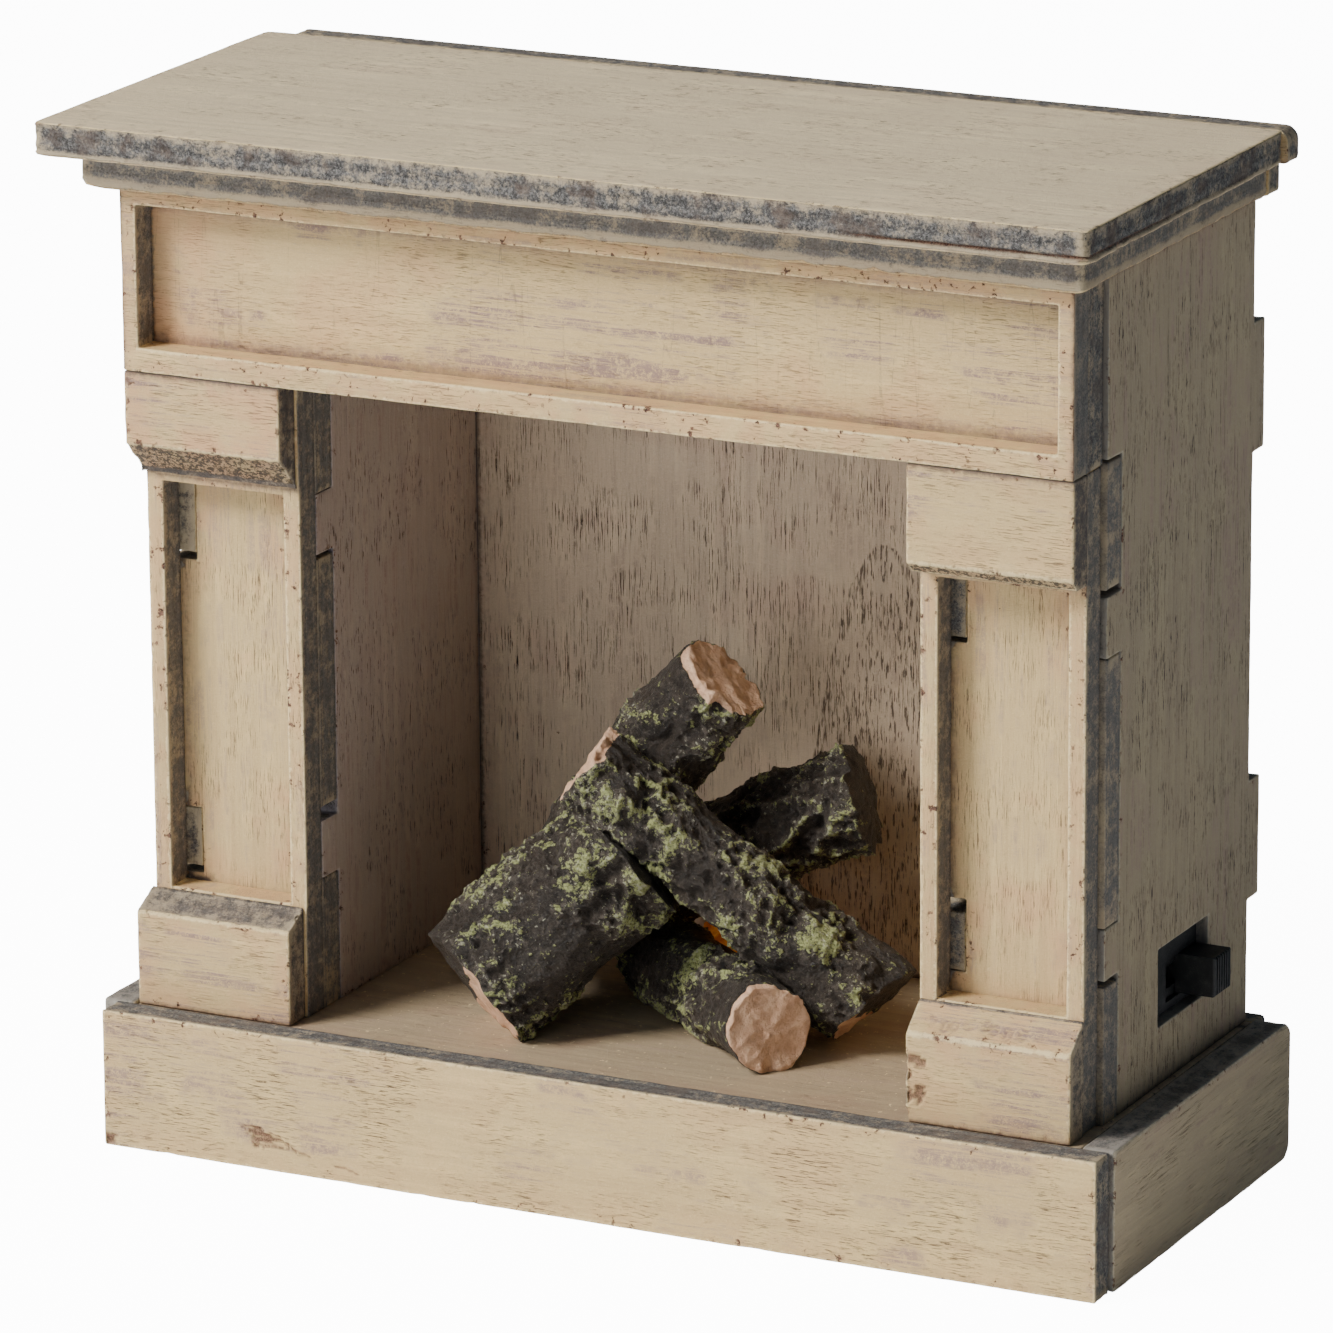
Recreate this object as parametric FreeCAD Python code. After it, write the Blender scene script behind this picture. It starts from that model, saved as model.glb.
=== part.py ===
import FreeCAD, Part
import math
import os

# Dolls' fireplace mantel: a slot-and-tab plywood carcass on a plinth, a moulded
# front in three layers, a cast log fire with a lamp under it, a slide switch in
# the right-hand wall and a two-cell battery compartment behind the right pilaster.
# Millimetres. The sizes below are set out with x = 0 on the middle of the front
# layers, y = 0 on the face of the caps and frieze frame, z = 0 on the table.
# The finished model is moved so that its origin is the bottom centre of its box.

# ---- sheet and overall sizes ----
ply = 5.0                  # the one sheet that nearly every board is cut from
back_ply = 4.0             # thinner sheet of the back panel
lining_ply = 2.6           # thin sheet that lines the back of the firebox
body_width = 150.6         # frieze, caps and bases, left to right
body_depth = 62.6          # face of the frieze frame to the back edge of the walls
overall_height = 154.7
carcass_shift = 0.75       # the walls stand this much to the right of the front
cavity_left = 15.25        # clear width between the outer and inner left walls

# ---- shelf ----
shelf_left = 10.0          # overhang past the left end of the body
shelf_right = 4.9
shelf_front = 7.3
bed_left = 4.6
bed_right = 2.6
bed_front = 3.2
bed_bevel = 1.1            # bevel on the lower arris of the bed moulding

# ---- plinth ----
plinth_height = 21.15
floor_drop = 0.65          # the hearth floor lies this far below the plinth's top
plinth_front_gap = 1.05    # behind the front board, in front of the base blocks
plinth_left = 2.9          # front board's end past the left end of the body
plinth_right = 6.7
side_gap_left = 0.3        # side board's inner face past the left end of the body
side_gap_right = 2.3
side_board_back = 1.4      # side boards run this far behind the walls
floor_gap_left = 0.0
floor_gap_right = 0.7      # open joint beside the hearth floor

# ---- front layers ----
frieze_height = 27.4
frieze_end_stile = 2.6
frieze_top_rail = 2.6
frieze_bottom_rail = 3.6
cap_inset_left = 0.45      # caps and bases stop this far short of the opening
cap_inset_right = 0.25
cap_height = 16.1
cap_bevel_left = 5.0
cap_bevel_right = 1.7
base_height = 17.3         # above the hearth floor
base_bevel_left = 2.6
base_bevel_right = 3.9
pilaster_inset_left = 0.55     # outer edge, from the end of the body
pilaster_inset_right = 0.15
pilaster_lip_left = 0.05       # inner edge, past the firebox wall into the opening
pilaster_lip_right = -0.15
pilaster_stile = 2.75
pilaster_top_rail = 1.3    # shows below the cap

# ---- finger joints: (bottom of slot, top of slot, gap below tab, gap above tab) ----
outer_slots_right = [(41.1, 49.8, 0.9, 0.0), (89.3, 99.25, 0.0, 0.9)]
outer_slots_left = [(38.9, 48.9, 0.9, 0.0), (87.0, 98.9, 1.0, 0.0)]
inner_slots = [(40.6, 51.4, 0.0, 2.0), (89.3, 99.1, 0.6, 0.0)]
top_tab_rise = 0.45        # top tab's slot above the frieze's lower edge
top_tab_gap = 0.3
back_tabs = [(39.1, 57.4), (106.8, 126.2)]
slot_clearance = 0.1

# ---- back panel ----
back_body_inset = 2.8      # edges lie inside the outer faces of the walls
back_top_left = 3.6        # short of the shelf's left end
back_top_right = 0.6       # past the shelf's right end
back_bed_inset_left = 2.0
back_corner_radius = 1.5
back_plinth_gap = 0.2

# ---- switch in the right wall ----
switch_to_battery = 3.35   # from the switch's flange to the battery holder
hole_length = 18.1
hole_bottom = 29.4
hole_height = 11.65
housing_clearance = 0.2
housing_recess = 1.8       # housing's face below the wall's outer face
housing_wall = 2.0
housing_flange = 3.0       # flange round the hole, on the wall's inner face
housing_flange_thick = 1.5
housing_depth = 6.0        # from the wall's inner face inward
track_depth = 0.8
knob_length = 6.1
knob_height = 5.9
knob_proud = 3.9           # beyond the wall's outer face
knob_back_gap = 0.45       # to the hole's back edge, in the ON position
knob_above_hole = 1.6      # above the hole's bottom edge
knob_travel = 4.5          # also the distance between neighbouring terminals
knob_clearance = 0.2
knob_ridges = 6
knob_rounding = 0.4
ridge_depth = 0.35
stem_size = 3.0
shoe_length = 6.2
shoe_height = 5.4
shoe_thick = 2.0
board_thick = 1.5
bridge_plate = 0.4
bridge_width = 2.8
bridge_height = 1.0        # plate and feet
bridge_foot = 0.5          # half the length of a foot
bridge_foot_width = 2.0
terminal_head_width = 2.4
terminal_head_thick = 0.5
terminal_width = 1.6
terminal_thick = 0.5
terminal_pin = 2.5

# ---- battery compartment ----
cell_diameter = 10.5
cell_length = 44.5
cell_nub_diameter = 3.8
cell_nub_length = 0.8
cell_clearance = 0.25
holder_wall = 1.6
holder_bottom = 4.0        # above the hearth floor
contact_room = 4.2         # room for a contact at each end of the pair of cells
contact_thick = 0.4
contact_side_gap = 1.5     # from the leaf to the trough's sides
contact_reach = 4.0        # leaf in front of and behind the cell's middle
contact_behind = 3.4
contact_curl = 1.5         # free end of the leaf, turned back from the cell
contact_fold = 1.2
contact_slant = 1.4        # thickness of the sloping parts, measured upright
contact_tab = 2.0          # tab past the holder's front, for the wire
holder_room = 1.175        # between the holder and the walls beside it
window_clearance = 0.1
flange_thick = 1.2
flange_lap = 1.025         # laps the tabs of the walls beside it
flange_corner = 2.2
flange_ear = 7.5
lid_thick = 1.2
lid_clearance = 0.2
lid_ledge = 0.9
lid_rail_thick = 0.8
lid_rail_deep = 1.5
lid_corner = 0.5
lid_ridges = 5
lid_ridge_top = 6.0        # from the lid's top edge
lid_ridge_pitch = 1.6
lid_ridge_width = 0.8
lid_ridge_length = 7.0
lid_ridge_height = 0.4
cell_rounding = 0.5
screw_radius = 0.95
screw_head_radius = 1.9
screw_head_top_radius = 1.37
screw_head_height = 0.9
screw_slot_length = 2.0
screw_slot_width = 0.4
screw_slot_depth = 0.5
screw_length = 4.8
screw_hole_radius = 1.0

# ---- lamp and wires ----
lamp_x = 4.0
lamp_y = 40.0
lamp_radius = 2.5
lamp_flange_radius = 2.9
lamp_flange_height = 1.0
lamp_height = 8.6
lamp_hole_clearance = 0.1
lead_size = 0.5
lead_pitch = 2.54
lead_drop = 2.2
lead_run = 8.0
wire_radius = 0.6
wire_bend = 3.6
wire_hole_radius = 1.6
wire_straight = 5.0        # run out of a terminal or a contact before the first turn
wire_slant = 12.0
wire_run_negative = 14.0
wire_run_lamp = 10.0
wire_spread_negative = 3.0 # aside from the lamp's middle at the last turn
wire_spread_lamp = -1.0
ember_radius = 8.0
ember_top_radius = 5.0
ember_height = 13.5
ember_bore = 3.1
ember_bore_depth = 5.0

# ---- logs: low end, high end (x, y, height above the hearth floor), two radii ----
logs = {
    "log_large": ((-24.6, 10.6, 6.6), (-4.5, 22.4, 26.5), 10.2, 10.6),
    "log_rear": ((-26.0, 33.0, 7.2), (4.4, 33.6, 51.6), 8.4, 7.5),
    "log_crossing": ((31.2, 29.5, 6.3), (-9.6, 17.6, 40.6), 7.4, 6.2),
    "log_back": ((-17.0, 46.0, 12.5), (24.2, 46.0, 33.4), 6.8, 7.6),
    "log_front": ((1.6, 29.8, 6.2), (22.6, 11.6, 6.4), 6.0, 6.6),
}

# ---- planes worked out from the sizes ----
half_body = body_width / 2
layer_b = ply
layer_c = 2 * ply
layer_d = 3 * ply
shelf_bottom = overall_height - ply
body_top = shelf_bottom - ply
floor_top = plinth_height - floor_drop
floor_bottom = floor_top - ply
frieze_bottom = body_top - frieze_height
cap_bottom = frieze_bottom - cap_height
base_top = floor_top + base_height
wall_right_outer = half_body + carcass_shift
wall_right_inner = wall_right_outer - ply
wall_left_outer = -half_body + carcass_shift
wall_left_inner = wall_left_outer + ply
back_face = body_depth + back_ply
holder_inner = cell_diameter + 2 * cell_clearance
holder_half = holder_inner / 2 + holder_wall
holder_floor = back_face - holder_inner
holder_front = holder_floor - holder_wall
cavity_right = 2 * (holder_half + holder_room)
fire_left = wall_left_inner + cavity_left + ply
fire_right = wall_right_inner - cavity_right - ply
front_board_back = -plinth_front_gap
front_board_face = front_board_back - ply
side_left_inner = -half_body - side_gap_left
side_left_outer = side_left_inner - ply
side_right_inner = half_body + side_gap_right
side_right_outer = side_right_inner + ply
side_back = body_depth + side_board_back
shelf_x0 = -half_body - shelf_left
shelf_x1 = half_body + shelf_right
bed_x0 = -half_body - bed_left
bed_x1 = half_body + bed_right
cap_span = {
    "left": (-half_body, fire_left - cap_inset_left),
    "right": (fire_right + cap_inset_right, half_body),
}


def box(x0, x1, y0, y1, z0, z1):
    """A plain block between two corners."""
    corner = FreeCAD.Vector(x0, y0, z0)
    return Part.makeBox(x1 - x0, y1 - y0, z1 - z0, corner)


def prism_along_x(profile, x0, x1):
    """A (y, z) outline carried from x0 to x1."""
    points = [FreeCAD.Vector(x0, y, z) for y, z in profile]
    face = Part.Face(Part.makePolygon(points + points[:1]))
    return face.extrude(FreeCAD.Vector(x1 - x0, 0, 0))


def cylinder(radius, length, base, direction):
    return Part.makeCylinder(radius, length, FreeCAD.Vector(*base), FreeCAD.Vector(*direction))


def joined(first, *others):
    """One solid from touching shapes, without the seams between them."""
    result = first
    for other in others:
        result = result.fuse(other)
    return result.removeSplitter()


def rounded(shape, radius, wanted):
    """Rounds the edges that wanted(edge) picks."""
    edges = [edge for edge in shape.Edges if wanted(edge)]
    return shape.makeFillet(radius, edges)


def along(axis):
    """Picks the straight edges that run along one axis."""
    def wanted(edge):
        first, last = edge.Vertexes[0].Point, edge.Vertexes[-1].Point
        run = last - first
        return abs(abs(run[axis]) - run.Length) < 1e-6
    return wanted


# ---- shelf ----

def top_board():
    return box(shelf_x0, shelf_x1, -shelf_front, body_depth, shelf_bottom, overall_height)


def bed_moulding():
    """Board under the shelf, its lower front and end arrises bevelled."""
    board = box(bed_x0, bed_x1, -bed_front, body_depth, body_top, shelf_bottom)
    lower = [edge for edge in board.Edges
             if all(abs(v.Point.z - body_top) < 1e-6 for v in edge.Vertexes)
             and not all(abs(v.Point.y - body_depth) < 1e-6 for v in edge.Vertexes)]
    return board.makeChamfer(bed_bevel, lower)


# ---- front layers ----

def frieze_frame():
    frame = box(-half_body, half_body, 0, layer_b, frieze_bottom, body_top)
    window = box(-half_body + frieze_end_stile, half_body - frieze_end_stile, -1, layer_b + 1,
                 frieze_bottom + frieze_bottom_rail, body_top - frieze_top_rail)
    return frame.cut(window)


def frieze_panel():
    return box(-half_body, half_body, layer_b, layer_c, frieze_bottom, body_top)


def cap_block(side):
    """Capital: a block whose lower front arris is bevelled back towards the pilaster."""
    bevel = cap_bevel_left if side == "left" else cap_bevel_right
    depth = min(bevel, layer_b)
    profile = [(0, frieze_bottom), (0, cap_bottom + bevel), (depth, cap_bottom)]
    if depth < layer_b:
        profile.append((layer_b, cap_bottom))
    profile.append((layer_b, frieze_bottom))
    return prism_along_x(profile, *cap_span[side])


def base_block(side):
    """Base: a block whose top slopes up from its face to the pilaster."""
    bevel = base_bevel_left if side == "left" else base_bevel_right
    profile = [(0, floor_top), (0, base_top - bevel), (layer_b, base_top), (layer_b, floor_top)]
    return prism_along_x(profile, *cap_span[side])


def pilaster_frame(side):
    """Second layer: a narrow frame, its ends hidden by the cap and the base."""
    if side == "left":
        x0 = -half_body + pilaster_inset_left
        x1 = fire_left + pilaster_lip_left
    else:
        x0 = fire_right - pilaster_lip_right
        x1 = half_body - pilaster_inset_right
    frame = box(x0, x1, layer_b, layer_c, floor_top, frieze_bottom)
    window = box(x0 + pilaster_stile, x1 - pilaster_stile, layer_b - 1, layer_c + 1,
                 base_top, cap_bottom - pilaster_top_rail)
    return frame.cut(window)


def front_panel():
    """Third layer: one arch-shaped board, slotted for the tabs of all four walls."""
    panel = box(wall_left_outer, wall_right_outer, layer_c, layer_d, floor_top, body_top)
    cuts = [box(fire_left, fire_right, layer_c - 1, layer_d + 1, floor_top - 1, frieze_bottom)]
    top_slot = frieze_bottom + top_tab_rise
    for low, high, _, _ in outer_slots_left:
        cuts.append(box(wall_left_outer - 1, wall_left_inner + slot_clearance,
                        layer_c - 1, layer_d + 1, low, high))
    for low, high, _, _ in outer_slots_right:
        cuts.append(box(wall_right_inner - slot_clearance, wall_right_outer + 1,
                        layer_c - 1, layer_d + 1, low, high))
    for low, high, _, _ in inner_slots:
        cuts.append(box(fire_left - ply - slot_clearance, fire_left + 1,
                        layer_c - 1, layer_d + 1, low, high))
        cuts.append(box(fire_right - 1, fire_right + ply + slot_clearance,
                        layer_c - 1, layer_d + 1, low, high))
    cuts.append(box(wall_left_outer - 1, wall_left_inner + slot_clearance,
                    layer_c - 1, layer_d + 1, top_slot, body_top + 1))
    cuts.append(box(wall_right_inner - slot_clearance, wall_right_outer + 1,
                    layer_c - 1, layer_d + 1, top_slot, body_top + 1))
    return panel.cut(cuts)


# ---- walls ----

def wall(x0, slots, has_top_tab):
    """Upright board across the depth, with tabs into the front and back panels."""
    x1 = x0 + ply
    pieces = []
    for low, high, gap_below, gap_above in slots:
        pieces.append(box(x0, x1, layer_c, layer_d, low + gap_below, high - gap_above))
    if has_top_tab:
        low = frieze_bottom + top_tab_rise + top_tab_gap
        pieces.append(box(x0, x1, layer_c, layer_d, low, body_top))
    for low, high in back_tabs:
        pieces.append(box(x0, x1, body_depth, back_face, low, high))
    return joined(box(x0, x1, layer_d, body_depth, floor_top, body_top), *pieces)


def side_wall_left():
    return wall(wall_left_outer, outer_slots_left, True)


def side_wall_right():
    """Right wall, with the oblong hole that the switch sits in."""
    hole = box(wall_right_inner - 1, wall_right_outer + 1, hole_front, hole_front + hole_length,
               hole_bottom, hole_bottom + hole_height)
    return wall(wall_right_inner, outer_slots_right, True).cut(hole)


def firebox_wall_left():
    return wall(fire_left - ply, inner_slots, False)


def firebox_wall_right():
    return wall(fire_right, inner_slots, False)


def firebox_back():
    return box(fire_left, fire_right, body_depth - lining_ply, body_depth, floor_top, body_top)


# ---- battery compartment sizes, shared by the holder, its lid and the back panel ----
holder_x = (fire_right + ply + wall_right_inner) / 2
holder_z0 = floor_top + holder_bottom
cells_z0 = holder_z0 + holder_wall + contact_room
holder_inner_height = 2 * cell_length + 2 * contact_room
holder_z1 = holder_z0 + holder_inner_height + 2 * holder_wall
flange_face = back_face + flange_thick
screw_z = (holder_z0 - flange_ear / 2, holder_z1 + flange_ear / 2)
lid_half = holder_inner / 2 + lid_ledge
lid_z0 = holder_z0 + holder_wall - lid_ledge
lid_z1 = holder_z1 - holder_wall + lid_ledge


def back_panel():
    """Back board: shelf-wide at the top, stepped in behind the walls, plinth-wide at the foot."""
    top = box(shelf_x0 + back_top_left, shelf_x1 + back_top_right, body_depth, back_face,
              shelf_bottom, overall_height)
    top = rounded(top, back_corner_radius, lambda edge: along(1)(edge)
                  and edge.CenterOfMass.z > overall_height - 0.1)
    bed = box(bed_x0 + back_bed_inset_left, bed_x1, body_depth, back_face, body_top, shelf_bottom)
    body = box(wall_left_outer + back_body_inset, wall_right_outer - back_body_inset,
               body_depth, back_face, floor_top, body_top)
    foot = box(side_left_inner + back_plinth_gap, side_right_inner - back_plinth_gap,
               body_depth, back_face, 0, floor_top)
    cuts = []
    for low, high in back_tabs:
        for x0 in (wall_left_outer, fire_left - ply, fire_right, wall_right_inner):
            cuts.append(box(x0 - slot_clearance, x0 + ply + slot_clearance,
                            body_depth - 1, back_face + 1, low - slot_clearance, high + slot_clearance))
    reach = holder_half + window_clearance
    cuts.append(box(holder_x - reach, holder_x + reach, body_depth - 1, back_face + 1,
                    holder_z0 - window_clearance, holder_z1 + window_clearance))
    for z in screw_z:
        cuts.append(cylinder(screw_hole_radius, back_ply + 2, (holder_x, body_depth - 1, z), (0, 1, 0)))
    return joined(top, bed, body, foot).cut(cuts)


def battery_holder():
    """Moulded trough for two cells end to end, with a flange round its mouth."""
    outer = box(holder_x - holder_half, holder_x + holder_half, holder_front, back_face,
                holder_z0, holder_z1)
    flange_half = cavity_right / 2 + flange_lap
    flange = box(holder_x - flange_half, holder_x + flange_half, back_face, flange_face,
                 holder_z0 - flange_ear, holder_z1 + flange_ear)
    flange = rounded(flange, flange_corner, along(1))
    hollow = box(holder_x - holder_inner / 2, holder_x + holder_inner / 2, holder_floor,
                 flange_face + 1, holder_z0 + holder_wall, holder_z1 - holder_wall)
    seat = box(holder_x - lid_half, holder_x + lid_half, flange_face - lid_thick,
               flange_face + 1, lid_z0, lid_z1)
    cuts = [hollow, seat]
    for z in screw_z:
        cuts.append(cylinder(screw_hole_radius, flange_thick + 2, (holder_x, back_face - 1, z), (0, 1, 0)))
    for z in contact_tab_z:
        cuts.append(box(holder_x - terminal_width / 2, holder_x + terminal_width / 2,
                        holder_front - 1, holder_floor + 1, z, z + contact_thick))
    return joined(outer, flange).cut(cuts)


def battery_lid():
    """Press-in lid: a plate in the flange's seat, two rails inside the trough, grip ridges."""
    plate = box(holder_x - lid_half + lid_clearance, holder_x + lid_half - lid_clearance,
                flange_face - lid_thick, flange_face, lid_z0 + lid_clearance, lid_z1 - lid_clearance)
    plate = rounded(plate, lid_corner, along(1))
    pieces = []
    rail_reach = holder_inner / 2 - lid_clearance
    rail_y = flange_face - lid_thick
    middle = (lid_z0 + lid_z1) / 2
    rail_half = cell_length / 2
    for inner, outer in ((-rail_reach, -rail_reach + lid_rail_thick), (rail_reach - lid_rail_thick, rail_reach)):
        pieces.append(box(holder_x + inner, holder_x + outer, rail_y - lid_rail_deep, rail_y,
                          middle - rail_half, middle + rail_half))
    for number in range(lid_ridges):
        z = lid_z1 - lid_ridge_top - lid_ridge_pitch * number
        pieces.append(box(holder_x - lid_ridge_length / 2, holder_x + lid_ridge_length / 2,
                          flange_face, flange_face + lid_ridge_height, z - lid_ridge_width, z))
    return joined(plate, *pieces)


def battery_screws():
    """Two small cross-slotted wood screws through the flange into the back panel."""
    screws = []
    for z in screw_z:
        head = Part.makeCone(screw_head_radius, screw_head_top_radius, screw_head_height,
                             FreeCAD.Vector(holder_x, flange_face, z), FreeCAD.Vector(0, 1, 0))
        top = flange_face + screw_head_height
        for width, height in ((screw_slot_length, screw_slot_width), (screw_slot_width, screw_slot_length)):
            head = head.cut(box(holder_x - width / 2, holder_x + width / 2, top - screw_slot_depth, top + 1,
                                z - height / 2, z + height / 2))
        shank = cylinder(screw_radius, screw_length, (holder_x, flange_face - screw_length, z), (0, 1, 0))
        screws.append(joined(head, shank))
    return Part.makeCompound(screws)


def battery_cell(number):
    """One cell, its nub upward."""
    y = holder_floor + cell_clearance + cell_diameter / 2
    z = cells_z0 + number * cell_length
    can = cylinder(cell_diameter / 2, cell_length - cell_nub_length, (holder_x, y, z), (0, 0, 1))
    can = rounded(can, cell_rounding, lambda edge: edge.Curve.TypeId == "Part::GeomCircle")
    nub = cylinder(cell_nub_diameter / 2, cell_nub_length,
                   (holder_x, y, z + cell_length - cell_nub_length), (0, 0, 1))
    return joined(can, nub)


contact_half = holder_inner / 2 - contact_side_gap
contact_tab_z = (holder_z0 + holder_wall, holder_z1 - holder_wall - contact_thick)


def battery_contact(end):
    """Leaf contact: a plate on the end wall, a folded leaf to the cell, a tab out of the trough."""
    centre_y = holder_floor + cell_clearance + cell_diameter / 2
    curl_y = centre_y - contact_reach + contact_curl
    high_y = centre_y + contact_behind
    if end == "bottom":
        plate_z, tip_z, step = contact_tab_z[0], cells_z0, 1
    else:
        plate_z, tip_z, step = contact_tab_z[1] + contact_thick, cells_z0 + 2 * cell_length, -1
    t = contact_thick * step
    profile = [
        (holder_floor, plate_z),
        (high_y, plate_z),
        (high_y + contact_thick, plate_z + t),
        (centre_y, tip_z),
        (curl_y, tip_z - contact_curl * step),
        (curl_y, tip_z - contact_curl * step - contact_slant * t),
        (centre_y, tip_z - contact_slant * t),
        (high_y - contact_fold, plate_z + t),
        (holder_floor, plate_z + t),
    ]
    leaf = prism_along_x(profile, holder_x - contact_half, holder_x + contact_half)
    low, high = sorted((plate_z, plate_z + t))
    tab = box(holder_x - terminal_width / 2, holder_x + terminal_width / 2,
              holder_front - contact_tab, holder_floor, low, high)
    return joined(leaf, tab)


# ---- switch ----
hole_back = holder_front - switch_to_battery - housing_flange
hole_front = hole_back - hole_length
housing_face = wall_right_outer - housing_recess
knob_y1 = hole_back - knob_back_gap
knob_y0 = knob_y1 - knob_length
knob_z0 = hole_bottom + knob_above_hole
knob_z1 = knob_z0 + knob_height
knob_y = (knob_y0 + knob_y1) / 2
knob_z = (knob_z0 + knob_z1) / 2
track_face = housing_face - track_depth
chamber_face = housing_face - housing_wall
housing_back = wall_right_inner - housing_depth
board_face = housing_back + board_thick
shoe_x1 = chamber_face - knob_clearance
shoe_x0 = shoe_x1 - shoe_thick
chamber_y0 = knob_y - knob_travel - shoe_length / 2 - knob_clearance
chamber_y1 = knob_y + shoe_length / 2 + knob_clearance
chamber_z0 = knob_z - shoe_height / 2 - knob_clearance
chamber_z1 = knob_z + shoe_height / 2 + knob_clearance
terminal_y = [knob_y + knob_travel * step for step in (0.5, -0.5, -1.5)]


def switch_housing():
    """Black moulding: a boss that fills the wall's hole, a flange behind it and a slider chamber."""
    boss = box(wall_right_inner, housing_face, hole_front + housing_clearance,
               hole_back - housing_clearance, hole_bottom + housing_clearance,
               hole_bottom + hole_height - housing_clearance)
    flange = box(wall_right_inner - housing_flange_thick, wall_right_inner,
                 hole_front - housing_flange, hole_back + housing_flange,
                 hole_bottom - housing_flange, hole_bottom + hole_height + housing_flange)
    flange = rounded(flange, 1.0, along(0))
    rear = box(housing_back, wall_right_inner - housing_flange_thick,
               chamber_y0 - housing_wall, chamber_y1 + housing_wall,
               chamber_z0 - housing_wall, chamber_z1 + housing_wall)
    track = box(track_face, housing_face + 1, knob_y0 - knob_travel - knob_clearance,
                knob_y1 + knob_clearance, knob_z0 - knob_clearance, knob_z1 + knob_clearance)
    slot = box(chamber_face - 1, track_face + 1, knob_y - knob_travel - stem_size / 2 - knob_clearance,
               knob_y + stem_size / 2 + knob_clearance,
               knob_z - stem_size / 2 - knob_clearance, knob_z + stem_size / 2 + knob_clearance)
    chamber = box(housing_back - 1, chamber_face, chamber_y0, chamber_y1, chamber_z0, chamber_z1)
    return joined(boss, flange, rear).cut([track, slot, chamber])


def switch_knob():
    """Ridged thumb piece, its stem and the shoe that is captive behind the housing's face."""
    outer = wall_right_outer + knob_proud
    cap = box(track_face + knob_clearance, outer, knob_y0, knob_y1, knob_z0, knob_z1)
    cap = rounded(cap, knob_rounding, lambda edge: edge.CenterOfMass.x > outer - 0.01)
    pitch = knob_length / (knob_ridges + 1)
    grooves = []
    for number in range(knob_ridges):
        y = knob_y0 + pitch * (number + 1)
        grooves.append(box(outer - ridge_depth, outer + 1, y - pitch / 4, y + pitch / 4,
                           knob_z0 - 1, knob_z1 + 1))
    cap = cap.cut(grooves)
    stem = box(shoe_x1, track_face + knob_clearance, knob_y - stem_size / 2, knob_y + stem_size / 2,
               knob_z - stem_size / 2, knob_z + stem_size / 2)
    shoe = box(shoe_x0, shoe_x1, knob_y - shoe_length / 2, knob_y + shoe_length / 2,
               knob_z - shoe_height / 2, knob_z + shoe_height / 2)
    return joined(cap, stem, shoe)


def switch_bridge():
    """Brass clip on the shoe that joins two neighbouring terminals."""
    reach = knob_travel / 2
    plate = box(shoe_x0 - bridge_plate, shoe_x0, knob_y - reach - bridge_foot, knob_y + reach + bridge_foot,
                knob_z - bridge_width / 2, knob_z + bridge_width / 2)
    feet = []
    for y in (knob_y - reach, knob_y + reach):
        feet.append(box(shoe_x0 - bridge_height, shoe_x0 - bridge_plate, y - bridge_foot, y + bridge_foot,
                        knob_z - bridge_foot_width / 2, knob_z + bridge_foot_width / 2))
    return joined(plate, *feet)


def switch_board():
    """Phenolic board that closes the housing and carries the terminals."""
    board = box(housing_back, board_face, chamber_y0, chamber_y1, chamber_z0, chamber_z1)
    slots = []
    for y in terminal_y:
        slots.append(box(housing_back - 1, board_face + 1, y - terminal_width / 2, y + terminal_width / 2,
                         knob_z - terminal_thick / 2, knob_z + terminal_thick / 2))
    return board.cut(slots)


def switch_terminals():
    """Three brass tags through the board, each turned over on its inner face."""
    tags = []
    head_x1 = board_face + terminal_head_thick
    for y in terminal_y:
        head = box(board_face, head_x1, y - terminal_width / 2, y + terminal_width / 2,
                   knob_z - terminal_head_width / 2, knob_z + terminal_head_width / 2)
        pin = box(housing_back - terminal_pin, board_face, y - terminal_width / 2, y + terminal_width / 2,
                  knob_z - terminal_thick / 2, knob_z + terminal_thick / 2)
        tags.append(joined(head, pin))
    return Part.makeCompound(tags)


# ---- lamp, embers and logs ----
lead_end = lamp_x + lead_run
lead_z = floor_bottom - lamp_flange_height - lead_drop


def flame_lamp():
    """Amber lamp pushed up through the hearth floor from below."""
    flange_z = floor_bottom - lamp_flange_height
    flange = cylinder(lamp_flange_radius, lamp_flange_height, (lamp_x, lamp_y, flange_z), (0, 0, 1))
    straight = lamp_height - lamp_flange_height - lamp_radius
    barrel = cylinder(lamp_radius, straight, (lamp_x, lamp_y, floor_bottom), (0, 0, 1))
    dome = Part.makeSphere(lamp_radius, FreeCAD.Vector(lamp_x, lamp_y, floor_bottom + straight))
    return joined(flange, barrel, dome)


def lamp_leads():
    """Two square leads, bent over towards the right-hand cavity."""
    leads = []
    top = floor_bottom - lamp_flange_height
    half = lead_size / 2
    for side in (-1, 1):
        y = lamp_y + side * lead_pitch / 2
        drop = box(lamp_x - half, lamp_x + half, y - half, y + half, lead_z - half, top)
        run = box(lamp_x - half, lead_end, y - half, y + half, lead_z - half, lead_z + half)
        leads.append(joined(drop, run))
    return Part.makeCompound(leads)


def log_solid(name):
    """A tapered round log between its two ends, flattened where it lies on the hearth."""
    low, high, low_radius, high_radius = logs[name]
    start = FreeCAD.Vector(low[0], low[1], floor_top + low[2])
    end = FreeCAD.Vector(high[0], high[1], floor_top + high[2])
    cone = Part.makeCone(low_radius, high_radius, (end - start).Length, start, end - start)
    return cone.cut(box(-half_body, half_body, -half_body, body_depth * 2, 0, floor_top))


def log_pile():
    """The logs, each trimmed to seat on the ones placed before it."""
    placed = {}
    for name in logs:
        solid = log_solid(name)
        for other in placed.values():
            solid = solid.cut(other)
        placed[name] = max(solid.Solids, key=lambda piece: piece.Volume)
    return placed


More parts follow.
